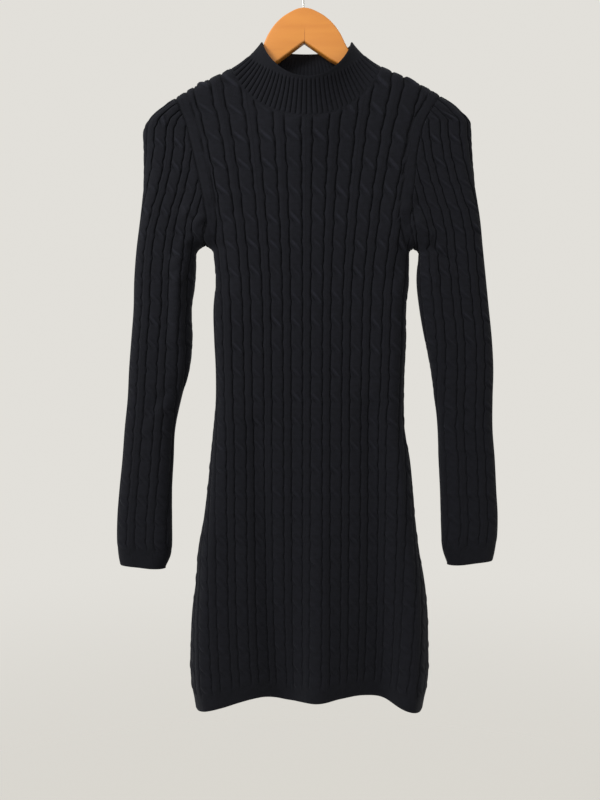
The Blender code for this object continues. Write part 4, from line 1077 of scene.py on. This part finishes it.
def spline(points, count):
    """A smooth line through points, with count places between each two, as cubic pieces."""
    points = np.array(points, float)
    slope = np.gradient(points, axis=0)
    t = np.linspace(0, 1, count, endpoint=False)[None, :, None]
    a, b, m, n = points[:-1, None], points[1:, None], slope[:-1, None], slope[1:, None]
    line = (1 + 2 * t) * (1 - t) ** 2 * a + t * (1 - t) ** 2 * m + t**2 * (3 - 2 * t) * b - t**2 * (1 - t) * n
    return np.concatenate([line.reshape(-1, 2), points[-1:]])


def inset(line, by):
    """A closed line that runs anticlockwise, moved inwards by a length."""
    ahead = unit(np.roll(line, -1, axis=0) - line)
    normal = np.stack([-ahead[:, 1], ahead[:, 0]], axis=-1)
    middle = normal + np.roll(normal, 1, axis=0)
    return line + by * 2 * middle / (middle**2).sum(axis=1, keepdims=True)


def resampled(line, count):
    """The same line with count places, evenly far apart along it."""
    return between(evenly(line, count - 1), np.arange(len(line)), line)


def hanger(name, finish):
    """The flat wooden hanger. Its front and back are strips between its upper and lower lines, and its edges
    are quarter rounds, each ring of which is the outline moved inwards."""
    top = [(x, arm_top(x)) for x in np.linspace(ARM_FROM, ARM_REACH, 9)]
    under = [(x, arm_top(x) - ARM_HEIGHT) for x in np.linspace(ARM_REACH - 10, 60, 7)]
    lower = spline(TIP[1:] + under, 8)[::-1]
    slope = np.array(UNDERSIDE)
    lower = np.concatenate([resampled(slope, 15)[:-1], resampled(np.concatenate([slope[1:], lower]), 66)])
    upper = resampled(spline(BELL + top + TIP[:2], 8), len(lower))
    upper, lower = (np.concatenate([half[:0:-1] * [-1, 1], half]) for half in (upper, lower))
    outline = np.stack(tilted(*np.concatenate([lower, upper[-2:0:-1]]).T), axis=-1)
    around = len(outline)
    rings = []
    for turn in np.linspace(0, math.pi / 2, WOOD_STEPS + 1):
        line = inset(outline, WOOD_ROUND * (1 - math.cos(turn)))
        y = WOOD_THICK / 2 - WOOD_ROUND * (1 - math.sin(turn))
        rings = [np.insert(line, 1, -y, axis=1)] + rings + [np.insert(line, 1, y, axis=1)]
    number = np.arange(len(rings) * around).reshape(len(rings), around)
    a, b, c, d = quads(number, ring=True)
    below = np.arange(len(upper))
    above = (around - below) % around
    above[-1] = below[-1]
    p, q, r, s = below[:-1], below[1:], above[1:], above[:-1]
    strip = np.concatenate([np.stack([p, q, r], axis=-1), np.stack([p, r, s], axis=-1)])
    strip = strip[(strip[:, 0] != strip[:, 2]) & (strip[:, 1] != strip[:, 2])]
    faces = [triangles((a, d, c), (a, c, b)), number[0][strip], number[-1][strip[:, ::-1]]]
    return add_mesh(name, np.concatenate(rings), np.concatenate(faces), finish)


def hook(name, finish):
    """The bent wire: a straight stem, a bend to the side, and round over the rail, with a rounded tip."""
    angle = np.radians(np.linspace(*HOOK_TURN, 60))
    ring = HOOK_RADIUS * np.stack([np.cos(angle), np.sin(angle)], axis=-1) + [0, WIRE / 2 - HOOK_RADIUS]
    foot = [(0, STEM_FOOT), (0, (STEM_FOOT + STEM_TOP) / 2), (0, STEM_TOP)]
    line = np.concatenate([spline(foot + STEM_BEND + [tuple(ring[0])], 6)[:-1], ring])
    ahead = unit(np.gradient(line, axis=0))
    cap = np.linspace(0, math.pi / 2, 6)[1:]
    tip = line[-1] + ahead[-1] * (WIRE / 2 * np.sin(cap))[:, None]
    radius = np.concatenate([np.full(len(line), WIRE / 2), WIRE / 2 * np.cos(cap).clip(0.02)])[:, None]
    line = np.concatenate([line, tip])
    ahead = np.concatenate([ahead, np.repeat(ahead[-1:], len(tip), axis=0)])
    side = np.stack([-ahead[:, 1], ahead[:, 0]], axis=-1)
    turn = np.linspace(0, 2 * math.pi, 20, endpoint=False)
    x, z = tilted(*(line[:, None] + side[:, None] * (radius * np.cos(turn))[..., None]).transpose(2, 0, 1))
    points = np.stack([x, radius * np.sin(turn), z], axis=-1)
    ends = points[[0, -1]].mean(axis=1)
    number = np.arange(x.size).reshape(x.shape)
    a, b, c, d = quads(number, ring=True)
    faces = [triangles((a, c, b), (a, d, c))]
    first, last = number[0], number[-1]
    for middle, near, far in ((x.size, first, np.roll(first, -1)), (x.size + 1, np.roll(last, -1), last)):
        faces.append(np.stack([near, far, np.full(len(near), middle)], axis=-1))
    return add_mesh(name, np.concatenate([points.reshape(-1, 3), ends]), np.concatenate(faces), finish)


# The looks: the yarn's and the wood's darkest and palest colours, and the wood's glued joint, in millimetres.
KNIT_DARK = (0.0043, 0.0045, 0.0064)
KNIT_PALE = (0.0059, 0.0062, 0.0090)
WOOD_DARK = (0.48, 0.172, 0.024)
WOOD_PALE = (0.54, 0.208, 0.031)
JOINT = {"x": 2.6, "half": 0.6, "top": -84.0, "fade": 8.0}
JOINT_DARK = (0.45, 0.36, 0.3)
GRAIN = {"Detail": 4.0, "Distortion": 0.6, "Scale": 1.0}
GRAIN_STRETCH = (9, 60, 60)
FUZZ = {"Scale": 0.35, "Detail": 3.0}
STITCH_BUMP = {"Strength": 0.7, "Distance": 0.35 * MM}
LEG_SLOPE = 1.3  # how far a stitch's legs rise from its middle, in stitches for each column
# Painted shade and highlight on the yarn by the attribute "raised": painted shade darkens the channels, and a
# painted highlight lightens the crossings, where the yarn is also stretched paler.
PAINTED_SHADE_BY_RISE = [(0.0, 0.42), (0.3, 0.86), (0.55, 1.0), (0.73, 1.0), (0.93, 1.7)]
YARN = {
    "Base Color": (0.0057, 0.0060, 0.0084, 1.0),
    "Roughness": 0.88,
    "Specular IOR Level": 0.1,
    "Sheen Weight": 0.035,
    "Sheen Roughness": 0.5,
    "Sheen Tint": (0.6, 0.66, 0.78, 1.0),
}
WOOD = {"Base Color": (0.62, 0.26, 0.07, 1.0), "Roughness": 0.42, "Coat Weight": 0.25, "Coat Roughness": 0.25}
STEEL = {"Base Color": (0.42, 0.41, 0.38, 1.0), "Roughness": 0.3, "Metallic": 1.0}
FLOOR = {"Base Color": (0.66, 0.645, 0.61, 1.0), "Roughness": 0.9, "Specular IOR Level": 0.0}
SURROUND = (0.76, 0.742, 0.70, 1.0)
# What stands round the object, in metres, and the lights' names, places, sizes and powers in watts.
FLOOR_REACH = 7.0
FLOOR_WHOLE = 1.2
FLOOR_DOWN = -2.2
LIGHTS = [
    ("key", (-1.25, -1.1, 0.4), 0.6, 37.0),
    ("fill", (1.8, -1.6, -0.2), 1.4, 3.5),
    ("rim", (0.6, 2.0, 1.0), 1.2, 14.0),
]
LIGHTS_AIM = (0, 0, -0.5)
CAMERA_AT = (-0.0035, -1.02, -0.581)
LENS = 34.25
SENSOR = 36


def feed(tree, node, inputs):
    """Sets a node's inputs, by name or number, or links them where the value is another node's output."""
    for key, value in inputs.items():
        if isinstance(value, bpy.types.NodeSocket):
            tree.links.new(value, node.inputs[key])
        else:
            node.inputs[key].default_value = value


def added(tree, kind, inputs):
    """A new shader node with its inputs fed."""
    node = tree.nodes.new("ShaderNode" + kind)
    feed(tree, node, inputs)
    return node


def principled(name, inputs):
    """A material of one shader, whose node tree and shader are returned too."""
    made = bpy.data.materials.new(name)
    made.use_nodes = True
    made.diffuse_color = inputs["Base Color"]
    shader = made.node_tree.nodes["Principled BSDF"]
    feed(made.node_tree, shader, inputs)
    return made, made.node_tree, shader


def wired(tree):
    """A maker of Math nodes in a tree: maths(operation, first, second, third) gives the node's output."""

    def maths(operation, *values):
        node = added(tree, "Math", dict(enumerate(values)))
        node.operation = operation
        return node.outputs[0]

    return maths


def held(maths, value):
    """A value held between 0 and 1."""
    return maths("MINIMUM", 1.0, maths("MAXIMUM", 0.0, value))


def ramp(tree, value, stops):
    """Colours by a value from 0 to 1, between stops of (place, colour)."""
    node = added(tree, "ValToRGB", {"Fac": value})
    elements = node.color_ramp.elements
    while len(elements) < len(stops):
        elements.new(0.5)
    for element, (place, colour) in zip(elements, stops):
        element.position = place
        element.color = (*colour, 1)
    return node.outputs["Color"]


def times(tree, first, second):
    """One colour times another."""
    node = tree.nodes.new("ShaderNodeMix")
    node.data_type = "RGBA"
    node.blend_type = "MULTIPLY"
    feed(tree, node, {"Factor": 1, "A": first, "B": second})
    return node.outputs["Result"]


def stitch_relief():
    """A node group that reads the piece's stitches: the height of their V shaped legs, 0 to 1, and a fuzz."""
    group = bpy.data.node_groups.new("knit stitches", "ShaderNodeTree")
    for name in ("Height", "Shade"):
        group.interface.new_socket(name, in_out="OUTPUT", socket_type="NodeSocketFloat")
    uv = group.nodes.new("ShaderNodeUVMap")
    uv.uv_map = "stitches"
    split = added(group, "SeparateXYZ", {0: uv.outputs["UV"]})
    maths = wired(group)
    from_middle = maths("ABSOLUTE", maths("SUBTRACT", maths("FRACT", split.outputs["X"]), 0.5))
    down = maths("SUBTRACT", split.outputs["Y"], maths("MULTIPLY", from_middle, LEG_SLOPE))
    wave = maths("MULTIPLY_ADD", maths("SINE", maths("MULTIPLY", down, 2 * math.pi)), 0.5, 0.5)
    leg = maths("MULTIPLY", maths("SUBTRACT", from_middle, 0.25), 4.0)
    leg = maths("SUBTRACT", 1.0, maths("POWER", maths("ABSOLUTE", leg), 2.5))
    height = maths("MULTIPLY", maths("POWER", wave, 0.7), leg)
    noise = added(group, "TexNoise", {**FUZZ, "Vector": uv.outputs["UV"]})
    feed(group, group.nodes.new("NodeGroupOutput"), {"Height": height, "Shade": noise.outputs["Fac"]})
    return group


def knit_material():
    """Charcoal cotton yarn with a soft nap, with its stitches as bumps up to 0.35 mm high, painted shade in
    its channels and a painted highlight on its crossings.
    """
    made, tree, shader = principled("black knit", YARN)
    stitches = tree.nodes.new("ShaderNodeGroup")
    stitches.node_tree = stitch_relief()
    bumps = added(tree, "Bump", {**STITCH_BUMP, "Height": stitches.outputs["Height"]})
    raised = tree.nodes.new("ShaderNodeAttribute")
    raised.attribute_name = "raised"
    yarn = ramp(tree, stitches.outputs["Shade"], [(0.3, KNIT_DARK), (0.7, KNIT_PALE)])
    # painted shade in the channels and a painted highlight on the crossings, by each point's rise
    painted_shade = ramp(tree, raised.outputs["Fac"], [(place, (shade,) * 3) for place, shade in PAINTED_SHADE_BY_RISE])
    feed(tree, shader, {"Normal": bumps.outputs["Normal"], "Base Color": times(tree, yarn, painted_shade)})
    return made


def wood_material():
    """Varnished warm wood in two pieces, with faint long grain along X and a glued joint between them."""
    made, tree, shader = principled("varnished wood", WOOD)
    maths = wired(tree)
    place = tree.nodes.new("ShaderNodeTexCoord").outputs["Object"]
    stretch = added(tree, "Mapping", {"Scale": GRAIN_STRETCH, "Vector": place})
    grain = added(tree, "TexNoise", {**GRAIN, "Vector": stretch.outputs["Vector"]})
    split = added(tree, "SeparateXYZ", {0: place})
    beside = maths("ABSOLUTE", maths("SUBTRACT", split.outputs["X"], JOINT["x"] * MM))
    line = maths("SUBTRACT", 1.0, maths("MINIMUM", 1.0, maths("DIVIDE", beside, JOINT["half"] * MM)))
    below = maths("SUBTRACT", JOINT["top"] * MM, split.outputs["Z"])
    line = maths("MULTIPLY", line, held(maths, maths("DIVIDE", below, JOINT["fade"] * MM)))
    colour = ramp(tree, grain.outputs["Fac"], [(0.3, WOOD_DARK), (0.72, WOOD_PALE)])
    joint = ramp(tree, line, [(0.0, (1.0,) * 3), (1.0, JOINT_DARK)])
    feed(tree, shader, {"Base Color": times(tree, colour, joint)})
    return made


def floor_material():
    """A pale floor that fades into the surround away from its middle."""
    made, tree, shader = principled("pale floor", FLOOR)
    maths = wired(tree)
    place = tree.nodes.new("ShaderNodeTexCoord").outputs["Object"]
    length = added(tree, "VectorMath", {0: place})
    length.operation = "LENGTH"
    near = maths("SUBTRACT", FLOOR_REACH, length.outputs["Value"])
    near = held(maths, maths("DIVIDE", near, FLOOR_REACH - FLOOR_WHOLE))
    feed(tree, shader, {"Alpha": maths("MULTIPLY", near, near)})
    return made


def studio():
    """A pale floor far below, a pale surround, and soft lights in front on both sides and behind."""
    mesh = bpy.data.meshes.new("floor")
    corners = ((-1, -1), (1, -1), (1, 1), (-1, 1))
    corners = [(x * FLOOR_REACH, y * FLOOR_REACH, FLOOR_DOWN) for x, y in corners]
    mesh.from_pydata(corners, [], [(0, 1, 2, 3)])
    mesh.materials.append(floor_material())
    floor = placed("floor", mesh)
    world = bpy.data.worlds.new("pale room")
    world.use_nodes = True
    feed(world.node_tree, world.node_tree.nodes["Background"], {"Color": SURROUND, "Strength": 1.0})
    bpy.context.scene.world = world
    for name, where, size, power in LIGHTS:
        light = bpy.data.lights.new(name, "AREA")
        light.energy = power
        light.size = size
        lamp = placed(name, light)
        lamp.location = where
        lamp.rotation_euler = (Vector(LIGHTS_AIM) - lamp.location).to_track_quat("-Z", "Y").to_euler()


def camera():
    """The view straight from the front, a metre away."""
    made = bpy.data.cameras.new("front")
    made.lens = LENS
    made.sensor_width = SENSOR
    seen = placed("front", made)
    seen.location = CAMERA_AT
    seen.rotation_euler = (math.pi / 2, 0, 0)
    bpy.context.scene.camera = seen


def declare(piece, node):
    """A knitted piece rides on the one body and stands for its node, which is hidden."""
    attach(piece, "root")
    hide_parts(node)


def main():
    """Makes every piece, with the studio round it and the camera."""
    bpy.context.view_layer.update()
    knit = knit_material()
    wood = hanger("hanger_body", wood_material())
    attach(wood, "root")
    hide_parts("hanger_wood")
    wire = hook("hanger_wire", principled("brushed steel", STEEL)[0])
    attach(wire, "root")
    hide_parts("hanger_hook")
    patterns = {}
    for name, node, face in (("knit_front", "body_front", FRONT), ("knit_back", "body_back", BACK)):
        piece, patterns[face], area = body_panel(name, face, knit)
        declare(piece, node)
    for name, node, hand in (
        ("knit_sleeve_right", "sleeve_right", RIGHT),
        ("knit_sleeve_left", "sleeve_left", LEFT),
    ):
        piece, _, area = sleeve_panel(name, hand, knit)
        declare(piece, node)
    piece, area = collar("knit_collar", patterns, knit)
    declare(piece, "collar")
    studio()
    camera()
    bpy.context.scene.view_settings.view_transform = "Standard"


main()
